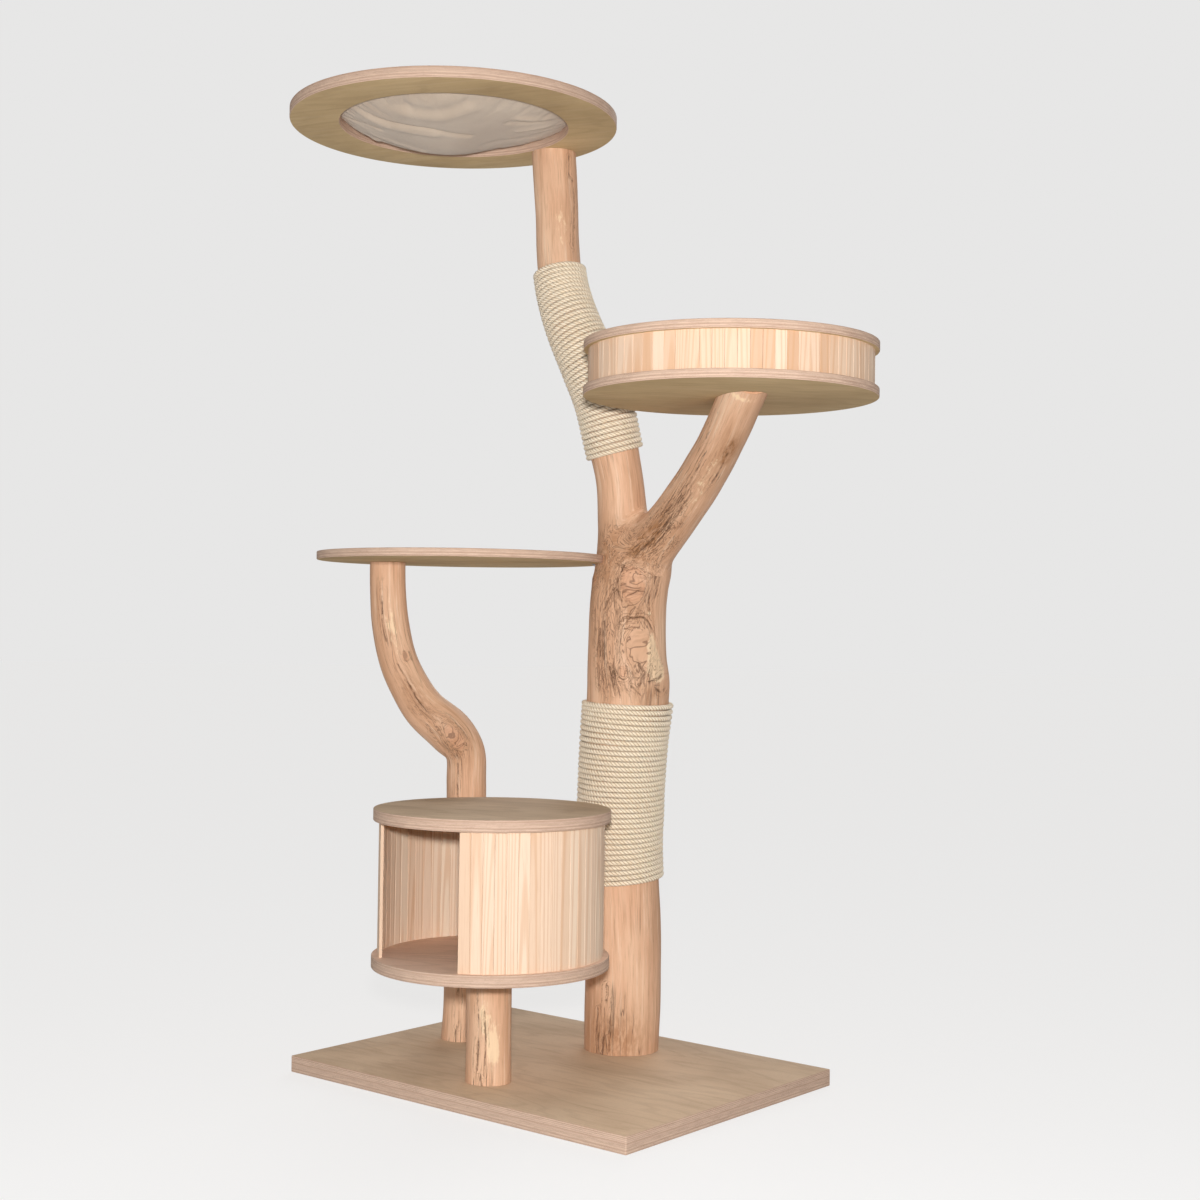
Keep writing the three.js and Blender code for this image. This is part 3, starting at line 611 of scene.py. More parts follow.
def catmull_rom(points, per_span, tension=None):
    """Samples of the curve through the points: centripetal, or uniform at the given tension."""
    points = np.asarray(points, float)
    padded = np.vstack([2 * points[0] - points[1], points, 2 * points[-1] - points[-2]])
    samples = []
    share = np.arange(per_span)[:, None] / per_span
    for i in range(len(points) - 1):
        p0, p1, p2, p3 = padded[i:i + 4]
        if tension is None:
            d0, d1, d2 = (np.linalg.norm(b - a) ** 0.5 for a, b in ((p0, p1), (p1, p2), (p2, p3)))
            m1 = d1 * ((p1 - p0) / d0 - (p2 - p0) / (d0 + d1) + (p2 - p1) / d1)
            m2 = d1 * ((p2 - p1) / d1 - (p3 - p1) / (d1 + d2) + (p3 - p2) / d2)
        else:
            m1, m2 = tension * (p2 - p0), tension * (p3 - p1)
        c2 = -3 * p1 + 3 * p2 - 2 * m1 - m2
        c3 = 2 * p1 - 2 * p2 + m1 + m2
        samples.append(p1 + m1 * share + c2 * share ** 2 + c3 * share ** 3)
    samples.append(points[-1:])
    return np.vstack(samples)


def beside(line, points):
    """For each straight piece of a plane line: its run, and every point's offset from it."""
    for start, end in zip(line[:-1], line[1:]):
        run = end - start
        share = np.clip(((points - start) @ run) / (run @ run), 0, 1)
        yield run, points - start - share[:, None] * run


class Log:
    """A log's pith and girth, and the surface around them."""

    def __init__(self, seed, stations, knots, cracks, *patches):
        stations = np.asarray(stations, float) * MM
        self.pith = catmull_rom(stations[:, :3], 48)
        self.girth = catmull_rom(stations[:, 3:], 48, 0.5)[:, 0]
        steps = np.linalg.norm(np.diff(self.pith, axis=0), axis=1)
        self.way = np.concatenate([[0], np.cumsum(steps)])
        self.along = unit(np.gradient(self.pith, self.way, axis=0))
        self.right = unit(np.cross((0.0, 1.0, 0.0), self.along))
        self.back = np.cross(self.along, self.right)
        self.knots, self.cracks, self.patches, self.seed = knots, cracks, patches, seed

    def at(self, table, way):
        """A pith table's row at each distance along the log."""
        if table.ndim == 1:
            return np.interp(way, self.way, table)
        return np.stack([np.interp(way, self.way, column) for column in table.T], 1)

    def outward(self, way, angle):
        """The direction across the grain at each angle round the pith."""
        return (np.cos(angle)[:, None] * self.at(self.right, way)
                + np.sin(angle)[:, None] * self.at(self.back, way))

    def way_at(self, height):
        return np.interp(height, self.pith[:, 2], self.way)

    def locate(self, points):
        """Distance along the pith, and the offset from it across the grain, for each point."""
        way = self.way_at(points[:, 2])
        for _ in range(8):
            ahead = ((points - self.at(self.pith, way)) * self.at(self.along, way)).sum(1)
            way = np.clip(way + 0.8 * ahead, self.way[0], self.way[-1])
        offset = points - self.at(self.pith, way)
        x = (offset * self.at(self.right, way)).sum(1)
        y = (offset * self.at(self.back, way)).sum(1)
        return way, x, y

    def reach(self, way, angle, lumpy=True):
        """The surface's distance from the pith: girth, slow lobes, knots, and unevenness."""
        radius = self.at(self.girth, way)
        height = self.at(self.pith, way)[:, 2]
        lobes = (0.014 * np.cos(2 * angle + 0.7 + height / 0.210)
                 + 0.009 * np.cos(3 * angle - height / 0.130))
        reach = radius * (1 + lobes)
        for z, degrees, _, width, proud, _ in self.knots:
            turn = angle - math.radians(degrees)
            away = np.hypot(radius * np.sin(turn), height - z * MM) / (width * MM)
            reach += np.where(np.cos(turn) > 0, proud * MM * np.exp(-away ** 2), 0)
        if lumpy:
            reach += self.lumps(way, angle, radius)
        return reach

    def lumps(self, way, angle, radius):
        """Shallow flutes along the grain and soft hollows, from smooth noise."""
        shift = self.seed * 7.3
        found = np.empty(len(way))
        for i, (s, a, r) in enumerate(zip(way, angle, radius)):
            x, y = r * math.cos(a), r * math.sin(a)
            soft = noise.noise(Vector((x * 16 + shift, y * 16, s * 11)))
            flute = noise.noise(Vector((x * 55, y * 55 + shift, s * 6)))
            found[i] = soft * 1.5 + flute * 0.75
        return found * MM

    def unroll(self, way, angle, height, z, degrees):
        """How far across and along the surface each point is from a place on it."""
        turn = (angle - math.radians(degrees) + math.pi) % (2 * math.pi) - math.pi
        return self.at(self.girth, way) * turn, height - z * MM

    def grain(self, way, x, y):
        """The wood's own coordinates: across, across, along; grain lines part round each knot."""
        angle = np.arctan2(y, x)
        height = self.at(self.pith, way)[:, 2]
        radius = np.maximum(np.hypot(x, y), 1e-4)
        bent = angle.copy()
        eye = np.full(len(way), 2.0)
        ring = np.zeros(len(way))
        for z, degrees, size, _, _, plain in self.knots:
            across, up = self.unroll(way, angle, height, z, degrees)
            away = np.hypot(across, up * 0.62)
            hole = size * MM
            shrink = np.where(away > hole, (hole / np.maximum(away, 1e-6)) ** 2, 1.0)
            near = np.exp(-(away / (4 * hole)) ** 2)
            bent -= across * shrink * near / radius
            ring = np.where(away < 1.5 * hole, plain, ring)
            eye = np.minimum(eye, away / hole)
        return np.stack([radius * np.cos(bent), radius * np.sin(bent), way], 1), eye, ring

    def spots(self, way, angle, places):
        height = self.at(self.pith, way)[:, 2]
        total = np.zeros(len(way))
        for z, degrees, along, wide, strength in places:
            across, up = self.unroll(way, angle, height, z, degrees)
            total += strength * np.exp(-(across / (wide * MM)) ** 2 - (up / (along * MM)) ** 2)
        return np.clip(total, 0, 1)

    def crack_distance(self, way, angle):
        """The signed distance to the nearest open crack, scaled as if each were 2 mm wide."""
        height = self.at(self.pith, way)[:, 2]
        nearest = np.full(len(way), 1.0)
        for corners, width in self.cracks:
            middle = corners[len(corners) // 2][1]
            across, _ = self.unroll(way, angle, height, 0, middle)
            here = np.stack([across, height], 1)
            size = float(np.interp(corners[0][0] * MM, self.pith[:, 2], self.girth))
            line = np.array([(size * math.radians(a - middle), z * MM) for z, a in corners])
            for run, apart in beside(catmull_rom(line, 6, 0.5), here):
                side = np.sign(run[0] * apart[:, 1] - run[1] * apart[:, 0])
                gap = np.hypot(*apart.T) * (2.0 / width)
                closer = gap < np.abs(nearest)
                nearest = np.where(closer, np.where(side == 0, 1, side) * gap, nearest)
        return nearest

    def marks(self, points):
        """What the wood's material reads at each point: its grain, and then the LOG_MARKS."""
        way, x, y = self.locate(points)
        angle = np.arctan2(y, x)
        return [*self.grain(way, x, y), self.crack_distance(way, angle),
                *(self.spots(way, angle, places) for places in self.patches)]


def write_marks(mesh, grain, *marks):
    write_vectors(mesh, "grain", grain)
    for name, values in zip(LOG_MARKS, marks):
        write_numbers(mesh, name, values)
    crack = marks[LOG_MARKS.index("crack")]
    write_numbers(mesh, "near_crack", np.exp(-(np.abs(crack) / (7 * MM)) ** 2))


def saw(shaped, what, height, keep_below):
    bmesh.ops.bisect_plane(shaped, geom=what, plane_co=(0, 0, height), plane_no=(0, 0, 1),
                           clear_outer=keep_below, clear_inner=not keep_below)
    rim = [edge for edge in shaped.edges if len(edge.link_faces) == 1]
    bmesh.ops.edgeloop_fill(shaped, edges=rim)


def cut_flat(piece, height, keep_below):
    """Saws the piece level at a height and closes the cut."""
    with reshaping(piece.data) as shaped:
        saw(shaped, shaped.verts[:] + shaped.edges[:] + shaped.faces[:], height, keep_below)


def groove(crack):
    """How deep the surface sinks at a signed distance from a crack."""
    return 1.3 * MM * np.exp(-(crack / (2.6 * MM)) ** 2)


def loft(name, log, ways, sides, reach, material, faces=tube_faces):
    """Rings round a log's pith at distances along it, each point as far out as reach says."""
    way, angle = (table.ravel() for table in np.meshgrid(ways, circle(sides), indexing="ij"))
    points = log.at(log.pith, way) + reach(way, angle)[:, None] * log.outward(way, angle)
    return build(name, points, faces(len(ways), sides), [material])


def plain_log(name, node, log):
    """A single log as a fine loft, sawn level at both ends."""
    low, high = (corner.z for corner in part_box(node))
    top = min(log.way_at(high) + 30 * MM, log.way[-1])
    bottom = max(log.way_at(low) - 12 * MM, log.way[0])
    piece = loft(name, log, np.arange(bottom, top, LOG_STEP), LOG_SIDES,
                 lambda way, angle: log.reach(way, angle) - groove(log.crack_distance(way, angle)),
                 LOG, grid_faces)
    cut_flat(piece, low, False)
    cut_flat(piece, high, True)
    write_marks(piece.data, *log.marks(positions(piece.data)))
    shade_by_angle(piece, 50)
    finish_piece(piece, "log_wood", "stand", node)


def trunk_field(points, stem, limb):
    """How far each point is outside the forked log, the way out, and the share of the limb."""
    blend = FORK["blend"]
    gaps, outs = [], []
    for log in (stem, limb):
        way, x, y = log.locate(points)
        away = np.maximum(np.hypot(x, y), 1e-6)
        angle = np.arctan2(y, x)
        gaps.append(away - log.reach(way, angle))
        outs.append((x[:, None] * log.at(log.right, way)
                     + y[:, None] * log.at(log.back, way)) / away[:, None])
    gaps[1] = np.maximum(gaps[1], points[:, 2] - limb.pith[-1, 2])
    gaps[1] += FORK["ease"] * np.maximum(0, FORK["foot"] - points[:, 2]) ** 2
    share = np.clip(0.5 + 0.5 * (gaps[0] - gaps[1]) / blend, 0, 1)
    gap = gaps[0] * (1 - share) + gaps[1] * share - blend * share * (1 - share)
    out = outs[0] * (1 - share)[:, None] + outs[1] * share[:, None]
    return gap, out / np.maximum(np.linalg.norm(out, axis=1), 1e-6)[:, None], share


def forked_trunk(stem, limb):
    """The stem and its limb as one log: joined, evened out, and eased onto one smooth surface."""
    low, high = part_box("main_trunk")
    piece, other = (
        loft("trunk_log", log, np.arange(log.way_at(start), log.way_at(log.pith[-1, 2]), 10 * MM),
             40, lambda way, angle, log=log: log.reach(way, angle, False), LOG)
        for log, start in ((stem, FORK["stem_from"]), (limb, FORK["limb_from"])))
    with reshaping(piece.data) as joined:
        joined.from_mesh(other.data)
    bpy.data.objects.remove(other)
    even = piece.modifiers.new("even", "REMESH")
    even.mode, even.voxel_size = "VOXEL", FORK["voxel"]
    apply_modifiers(piece)
    points = positions(piece.data)
    for _ in range(4):
        gap, out, _ = trunk_field(points, stem, limb)
        points -= np.clip(gap, -FORK["press"], FORK["press"])[:, None] * out
    way, x, y = stem.locate(points)
    points -= groove(stem.crack_distance(way, np.arctan2(y, x)))[:, None] * out
    piece.data.vertices.foreach_set("co", points.astype(np.float32).ravel())
    cut_limb(piece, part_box("tray_floor")[0].z - 0.3 * MM)
    cut_flat(piece, low.z, False)
    cut_flat(piece, high.z, True)
    describe_trunk(piece, stem, limb)
    shade_by_angle(piece, 50)
    finish_piece(piece, "log_wood", "stand", "main_trunk")


def cut_limb(piece, height):
    """Saws only the limb level, where the stem goes on upwards beside it."""
    with reshaping(piece.data) as shaped:
        limb = [v for v in shaped.verts if v.co.x > FORK["beside"]]
        inside = set(limb)
        edges = [e for e in shaped.edges if e.verts[0] in inside and e.verts[1] in inside]
        faces = [q for q in shaped.faces if all(v in inside for v in q.verts)]
        saw(shaped, limb + edges + faces, height, True)


def describe_trunk(piece, stem, limb):
    """Writes the wood's coordinates and marks, easing from the stem's to the limb's."""
    points = positions(piece.data)
    _, _, share = trunk_field(points, stem, limb)
    share = share * share * (3 - 2 * share)
    first, second = stem.marks(points), limb.marks(points)
    second[0][:, 2] += stem.way_at(FORK["grain_from"])
    grain = first[0] * (1 - share)[:, None] + second[0] * share[:, None]
    on_limb = share > 0.5
    lines = [np.where(on_limb, b, a) for a, b in zip(first[1:4], second[1:4])]
    spots = [a * (1 - share) + b * share for a, b in zip(first[4:], second[4:])]
    write_marks(piece.data, grain, *lines, *spots)


# ---- rope ------------------------------------------------------------------------------------

def rope_wrap(name, node, log, low, high):
    """A laid rope wound round a log, turn against turn, at right angles to the pith."""
    start, end = log.way_at(low) + SISAL["radius"], log.way_at(high) - SISAL["radius"]
    turns = round((end - start) / SISAL["turn"])
    size = float(log.at(log.girth, np.array([(start + end) / 2]))[0]) + SISAL["radius"]
    count = int(turns * 2 * math.pi * size / SISAL["step"])
    share = np.linspace(0, 1, count)
    angle = ROPE_START + share * turns * 2 * math.pi
    way = start + share * (end - start)
    out = log.outward(way, angle)
    jitter = np.array([noise.noise(Vector((turn * 1.7, log.seed, 0))) for turn in share * turns])
    reach = log.reach(way, angle, False) + SISAL["radius"] + SISAL["gap"] + SISAL["uneven"] * jitter
    line = log.at(log.pith, way) + reach[:, None] * out
    side = np.cross(unit(np.gradient(line, axis=0)), out)
    run = np.concatenate([[0], np.cumsum(np.linalg.norm(np.diff(line, axis=0), axis=1))])
    section, crown = (np.tile(values, 3) for values in zip(*STRAND))
    corner = circle(len(section))
    turn = corner[None, :] + (run * 2 * math.pi / SISAL["lay"])[:, None]
    radius = SISAL["radius"] * section[None, :]
    points = (line[:, None, :] + (radius * np.cos(turn))[..., None] * out[:, None, :]
              + (SISAL["squeeze"] * radius * np.sin(turn))[..., None] * side[:, None, :])
    piece = build(name, points.reshape(-1, 3), tube_faces(count, len(section)), [ROPE])
    far = np.broadcast_to(run[:, None], turn.shape)
    across = np.broadcast_to(corner[None, :], turn.shape)
    coordinates = np.stack([far * 60, np.cos(across) * 9, np.sin(across) * 9], -1)
    write_vectors(piece.data, "grain", coordinates.reshape(-1, 3))
    write_numbers(piece.data, "crown", np.broadcast_to(crown[None, :], turn.shape))
    finish_piece(piece, "sisal_rope", "stand", node)


# ---- plywood ---------------------------------------------------------------------------------

def rounded(inner, outer, low, high):
    """A board's section from its inner to its outer edge, going round, with eased corners."""
    corner = [(EDGE * (1 - math.cos(a)), EDGE * (1 - math.sin(a)))
              for a in np.linspace(0, math.pi / 2, 5)]
    right = [(outer - x, low + y) for x, y in reversed(corner)]
    right += [(outer - x, high - y) for x, y in corner]
    if inner is None:
        return [(0.0, low)] + right + [(0.0, high)]
    left = [(inner + x, high - y) for x, y in reversed(corner)]
    left += [(inner + x, low + y) for x, y in corner]
    return right + left


def turned(profile, sides, at=(0, 0, 0)):
    """The points of a section turned round an upright axis."""
    return [(at[0] + r * math.cos(a), at[1] + r * math.sin(a), at[2] + z)
            for r, z in profile for a in circle(sides)]


def ply_disc(name, centre, low, profile, turn, inner, face=FACE):
    """A round board turned from a section; the turn is how far its face grain is swung."""
    rows, faces = (profile[1:-1], tube_faces) if inner is None else (profile, hoop_faces)
    piece = build(name, turned(rows, DISC_SIDES, (*centre, 0)), faces(len(rows), DISC_SIDES),
                  [face, EDGE_WOOD, SHADED_UNDER_FACE])
    describe_board(piece, centre, low, turn)
    return piece


def describe_board(piece, centre, low, turn):
    """Sorts faces into top veneer, edge and painted-shade underside, and writes each its grain."""
    mesh = piece.data
    mesh.update()
    slots = [0 if face.normal.z > 0.9 else 2 if face.normal.z < -0.9 else 1
             for face in mesh.polygons]
    mesh.polygons.foreach_set("material_index", slots)
    with reshaping(mesh) as shaped:
        seams = [e for e in shaped.edges if len({q.material_index for q in e.link_faces}) > 1]
        bmesh.ops.split_edges(shaped, edges=seams)
    on_edge = np.zeros(len(mesh.vertices), bool)
    for face in mesh.polygons:
        if face.material_index == 1:
            on_edge[list(face.vertices)] = True
    points = positions(mesh) - np.array((centre[0], centre[1], low))
    cos, sin = math.cos(turn), math.sin(turn)
    flat = np.stack([points[:, 0] * cos + points[:, 1] * sin, points[:, 1] * cos
                     - points[:, 0] * sin, points[:, 2] + turn], 1)
    write_vectors(mesh, "grain", np.where(on_edge[:, None], points, flat))


def lathe(name, profile, sides, material, at):
    return build(name, turned(profile, sides, at), tube_faces(len(profile), sides), [material])


def screw_cutter(screw, thickness):
    """The countersunk hole of a wood screw, a little larger than the screw."""
    free = 0.3 * MM
    head, shank = SCREW["head"] + free, SCREW["shank"] + free
    profile = [(shank, -thickness - 4 * MM), (shank, -SCREW["sink"]), (head, 0), (head, 3 * MM)]
    return lathe("cutter", profile, 24, EDGE_WOOD, middle(screw))


def log_cutter(log, low, high):
    """A stretch of a log with room round it, to scribe a board to."""
    return loft("cutter", log, np.arange(log.way_at(low), log.way_at(high), 6 * MM), 96,
                lambda way, angle: log.reach(way, angle) + SCRIBE["room"], EDGE_WOOD)


def finish_board(piece, centre, low, turn, cutters, slot, node):
    if cutters:
        carve(piece, cutters)
        describe_board(piece, centre, low, turn)
    shade_by_angle(piece, 30)
    finish_piece(piece, slot, "stand", node)


def round_board(name, node, turn, screws=(), hole=None, scribe=None, face=FACE):
    """Builds the round board that stands for a CAD disc, with its screw holes and scribed edge."""
    low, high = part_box(node)
    centre, radius = middle(node)[:2], (high.x - low.x) / 2
    if scribe:
        centre, radius = SCRIBE["centre"], SCRIBE["radius"]
    piece = ply_disc(name, centre, low.z, rounded(hole, radius, low.z, high.z), turn, hole, face)
    cutters = [screw_cutter(screw, high.z - low.z) for screw in screws]
    cutters += [log_cutter(log, SCRIBE["from"], SCRIBE["to"]) for log in scribe or ()]
    finish_board(piece, centre, low.z, turn, cutters, "plywood", node)


def hammock_ring(turn):
    """The big ring, with the groove round its top that the hoop lies in."""
    low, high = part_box("hammock_ring")
    centre, radius = middle("hammock_ring")[:2], (high.x - low.x) / 2
    profile = rounded(RING_HOLE, radius, low.z, high.z)
    top, deep = high.z, high.z - GROOVE["depth"]
    after_outer = len(profile) // 2
    profile[after_outer:after_outer] = [(GROOVE["outer"], top), (GROOVE["outer"], deep),
                                        (GROOVE["inner"], deep), (GROOVE["inner"], top)]
    piece = ply_disc("ring_board", centre, low.z, profile, turn, RING_HOLE)
    cutters = [screw_cutter(screw, high.z - low.z) for screw in screws_of("ring")]
    finish_board(piece, centre, low.z, turn, cutters, "plywood", "hammock_ring")


def screws_of(group):
    return [f"{group}_screw_{number}" for number in (1, 2, 3)]


def base_board():
    """The base plate, its corners and edges eased, pocketed below for the lag screws."""
    low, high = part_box("base_plate")
    corner, outline = 3 * MM, []
    for sx, sy, start in ((1, -1, -90), (1, 1, 0), (-1, 1, 90), (-1, -1, 180)):
        for step in range(7):
            a = math.radians(start + step * 15)
            outline.append((sx * (high.x - corner), sy * (high.y - corner), math.cos(a),
                            math.sin(a)))
    section = rounded(None, 0.0, low.z, high.z)[1:-1]
    points = [(x + (corner + inset) * c, y + (corner + inset) * s, z)
              for inset, z in section for x, y, c, s in outline]
    piece = build("base_board", points, tube_faces(len(section), len(outline)),
                  [BASE_FACE, EDGE_WOOD, SHADED_UNDER_FACE])
    profile = [(LAG["pocket"], -5 * MM), (LAG["pocket"], LAG["deep"]), (LAG["hole"], LAG["deep"]),
               (LAG["hole"], 40 * MM)]
    cutters = [lathe("cutter", profile, 48, EDGE_WOOD, (*middle(node)[:2], 0))
               for node in sorted(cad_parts) if "_lag_" in node]
    finish_board(piece, (0, 0), low.z, 0.0, cutters, "base_plywood", "base_plate")


# ---- staves ----------------------------------------------------------------------------------

def stave_wall(name, node, layout, seed, pale):
    """Separate mitred boards standing edge to edge, each cut from a log of its own."""
    low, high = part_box(node)
    draw = random.Random(seed)
    centre = middle(layout["floor"])
    each = layout["sweep"] / layout["count"]
    half = math.tan(each / 2)
    points, faces, coordinates, tones = [], [], [], []
    heights = np.linspace(low.z, high.z, 6)
    b = STAVE["bevel"]
    for number in range(layout["count"]):
        angle = layout["start"] + (number + 0.5) * each
        face = layout["apothem"] - draw.uniform(0, 0.22) * MM
        rear = layout["apothem"] - STAVE["thickness"]
        wide, narrow = face * half - STAVE["joint"], rear * half - STAVE["joint"]
        outline = [(face, b - wide), (face, wide - b), (face - b, wide), (rear + b, narrow),
                   (rear, narrow - b), (rear, b - narrow), (rear + b, -narrow), (face - b, -wide)]
        first = len(points)
        pith = (draw.uniform(-22, 22) * MM, draw.uniform(6, 60) * MM, draw.uniform(-0.6, 0.6))
        tone = min(1.0, max(0.0, draw.gauss(pale, 0.22)))
        for z in heights:
            for depth, across in outline:
                points.append((centre[0] + depth * math.cos(angle) - across * math.sin(angle),
                               centre[1] + depth * math.sin(angle) + across * math.cos(angle), z))
                coordinates.append((pith[0] + across, pith[1] + depth - rear, pith[2] + z))
                tones.append(tone)
        faces += tube_faces(len(heights), len(outline), first)
    piece = build(name, points, faces, [PINE], False)
    write_vectors(piece.data, "grain", coordinates)
    write_numbers(piece.data, "tone", tones)
    finish_piece(piece, "pine_staves", "stand", node)


# ---- hammock ---------------------------------------------------------------------------------

def cloth_disc(radius, rings):
    """A flat disc of nearly equal triangles: six more points in each ring than in the last."""
    points, starts = [(0.0, 0.0)], [0]
    for ring in range(1, rings + 1):
        starts.append(len(points))
        for i in range(6 * ring):
            angle = 2 * math.pi * i / (6 * ring)
            points.append((radius * ring / rings * math.cos(angle),
                           radius * ring / rings * math.sin(angle)))
    faces = [(0, 1 + i, 1 + (i + 1) % 6) for i in range(6)]
    for ring in range(2, rings + 1):
        inner, outer = 6 * (ring - 1), 6 * ring
        i = j = 0
        while i < inner or j < outer:
            a, b = starts[ring - 1] + i % inner, starts[ring] + j % outer
            if (j + 1) * inner <= (i + 1) * outer:
                faces.append((a, b, starts[ring] + (j + 1) % outer))
                j += 1
            else:
                faces.append((a, b, starts[ring - 1] + (i + 1) % inner))
                i += 1
    return np.array(points), faces


def sag(piece, flat):
    """Lets the cloth fall under its own weight from the ring, with more slack on one side."""
    group = piece.vertex_groups.new(name="held")
    radius = np.hypot(*flat.T)
    group.add([int(i) for i in np.nonzero(radius > CANVAS["rim"] - 1 * MM)[0]], 1.0, "REPLACE")
    loose = piece.vertex_groups.new(name="loose")
    for i, point in enumerate(flat):
        share = 0.5 + 0.5 * float(point @ LOOSE_SIDE) / CANVAS["rim"]
        loose.add([i], min(1.0, max(0.0, share)), "REPLACE")
    cloth = piece.modifiers.new("fall", "CLOTH")
    settings = cloth.settings
    settings.quality, settings.mass, settings.air_damping = 8, 0.25, 3.0
    settings.tension_stiffness = settings.compression_stiffness = 40
    settings.shear_stiffness, settings.bending_stiffness = 12, 0.12
    settings.vertex_group_mass = "held"
    settings.vertex_group_shrink = "loose"
    settings.shrink_min, settings.shrink_max = -CANVAS["slack"] * 0.8, -CANVAS["slack"] * 1.35
    cloth.point_cache.frame_start, cloth.point_cache.frame_end = 1, CANVAS["frames"]
    for number in range(1, CANVAS["frames"] + 1):
        bpy.context.scene.frame_set(number)
    apply_modifiers(piece)
    bpy.context.scene.frame_set(1)


def worn_in(plane, sag_now):
    """The cloth's height where use has pulled it to one side, with the creases that this leaves."""
    ahead = np.array(CAMERA["aim"])
    seen = np.column_stack([plane @ (ahead[1], -ahead[0]), plane @ ahead])
    inside = np.clip((1 - np.hypot(*(plane / CANVAS["rim"]).T)) / 0.2, 0, 1)
    share = np.clip((seen[:, 0] / MM - SHALLOW["from"]) / (SHALLOW["to"] - SHALLOW["from"]), 0, 1)
    height = sag_now * (1 - SHALLOW["share"] * share * share * (3 - 2 * share))
    away = np.hypot(*(seen - np.array(LOW_POINT["at"]) * MM).T) / (LOW_POINT["reach"] * MM)
    height -= LOW_POINT["depth"] * MM * np.exp(-away ** 2) * inside
    for corners, rise, width in CREASES:
        line = catmull_rom(np.array(corners) * MM, 8, 0.5)
        away = np.min([np.hypot(*apart.T) for _, apart in beside(line, seen)], axis=0)
        height += rise * MM * inside * np.exp(-(away / (width * MM)) ** 2)
    return height


def hammock_cloth():
    centre = middle("hammock_ring")
    flat, faces = cloth_disc(CANVAS["edge"], CANVAS["rings"])
    points = np.column_stack([flat, np.full(len(flat), CANVAS["lift"])])
    piece = build("hammock_canvas_sheet", points + np.array(centre), faces, [CLOTH])
    sag(piece, flat)
    write_vectors(piece.data, "grain", np.column_stack([flat, np.zeros(len(flat))]))
    finer = piece.modifiers.new("finer", "SUBSURF")
    finer.levels = finer.render_levels = 1
    apply_modifiers(piece)
    there = positions(piece.data)
    rim = centre.z + CANVAS["lift"]
    there[:, 2] = rim + worn_in(there[:, :2] - np.array(centre)[:2], there[:, 2] - rim)
    piece.data.vertices.foreach_set("co", there.astype(np.float32).ravel())
    thick = piece.modifiers.new("thick", "SOLIDIFY")
    thick.thickness, thick.offset = CANVAS["thickness"], 0
    apply_modifiers(piece)
    return piece


def hem():
    """The canvas's edge: under the hoop, round it, and back over the lip where it is sewn down."""
    centre = middle("hammock_ring")
    r, hoop = HOOP["hem"], (HOOP["radius"], HOOP["lift"])
    line = [(GROOVE["inner"] - 5 * MM, 0.8 * MM), (GROOVE["inner"] - 1 * MM, 0.8 * MM)]
    line += [(hoop[0] + r * math.cos(a), hoop[1] + r * math.sin(a))
             for a in np.radians(np.arange(185, 515, 15))]
    line += [(GROOVE["inner"] + 0.5 * MM, 1.95 * MM), (GROOVE["inner"] - 3.5 * MM, 1.85 * MM)]
    line = np.array(line)
    ahead = unit(np.gradient(line, axis=0))
    side = np.column_stack([-ahead[:, 1], ahead[:, 0]]) * (CANVAS["thickness"] / 2)
    profile = np.vstack([line + side, (line - side)[::-1]])
    sides = 360
    pucker = 0.12 * MM * np.sin(circle(sides) * 90)
    points = [(centre.x + (p[0] + w) * math.cos(a), centre.y + (p[0] + w) * math.sin(a),
               centre.z + p[1]) for p in profile for a, w in zip(circle(sides), pucker)]
    piece = build("hammock_hem", points, hoop_faces(len(profile), sides), [CLOTH])
    spread = [(2 * math.pi * p[0] * i / sides, k * 1.3 * MM, 0)
              for k, p in enumerate(profile) for i in range(sides)]
    write_vectors(piece.data, "grain", spread)
    return finish_piece(piece, "canvas", "hammock")


def stitches():
    """A row of short thread stitches that closes the hem."""
    centre, radius = middle("hammock_ring"), GROOVE["inner"] - STITCH["in"]
    points, faces = [], []
    for at in circle(STITCH["count"]):
        faces += tube_faces(5, 6, len(points))
        for share in np.linspace(-0.5, 0.5, 5):
            a = at + share * STITCH["length"] / radius
            arch = (0.25 - share * share) * 4
            size = STITCH["thick"] * (0.35 + 0.65 * math.sqrt(arch))
            z = centre.z + STITCH["height"] + STITCH["arch"] * arch
            for turn in circle(6):
                r = radius + size * math.cos(turn)
                points.append((centre.x + r * math.cos(a), centre.y + r * math.sin(a),
                               z + size * math.sin(turn)))
    return finish_piece(build("hem_stitches", points, faces, [THREAD]), "canvas", "hammock")


def hammock():
    cloth = hammock_cloth()
    finish_piece(cloth, "canvas", "hammock", "hammock_canvas")
    hem()
    stitches()


# ---- screws ----------------------------------------------------------------------------------

def wood_screw(node, length):
    """A countersunk screw with a six-lobed socket, standing for a plain CAD one."""
    spot, sides = middle(node), 36
    lobes = SCREW["socket"] * (1 + 0.16 * np.cos(6 * circle(sides)))
    whole = np.ones(sides)
    rows = [(lobes * 0.82, -SCREW["depth"]), (lobes, -0.1 * MM), (lobes * 1.06, 0.0),
            (whole * (SCREW["head"] - 0.3 * MM), 0.0), (whole * SCREW["head"], -0.3 * MM),
            (whole * SCREW["shank"], -SCREW["sink"]),
            (whole * SCREW["shank"], SCREW["tip"] - length), (whole * 0.2 * MM, -length)]
    points = [Vector((r * math.cos(a), r * math.sin(a), z)) + spot
              for row, z in rows for r, a in zip(row, circle(sides))]
    faces = [face[::-1] for face in tube_faces(len(rows), sides)]
    piece = build(node + "_turned", points, faces, [STEEL])
    shade_by_angle(piece, 30)
    finish_piece(piece, "zinc_steel", "stand", node)


# ---- stage -----------------------------------------------------------------------------------

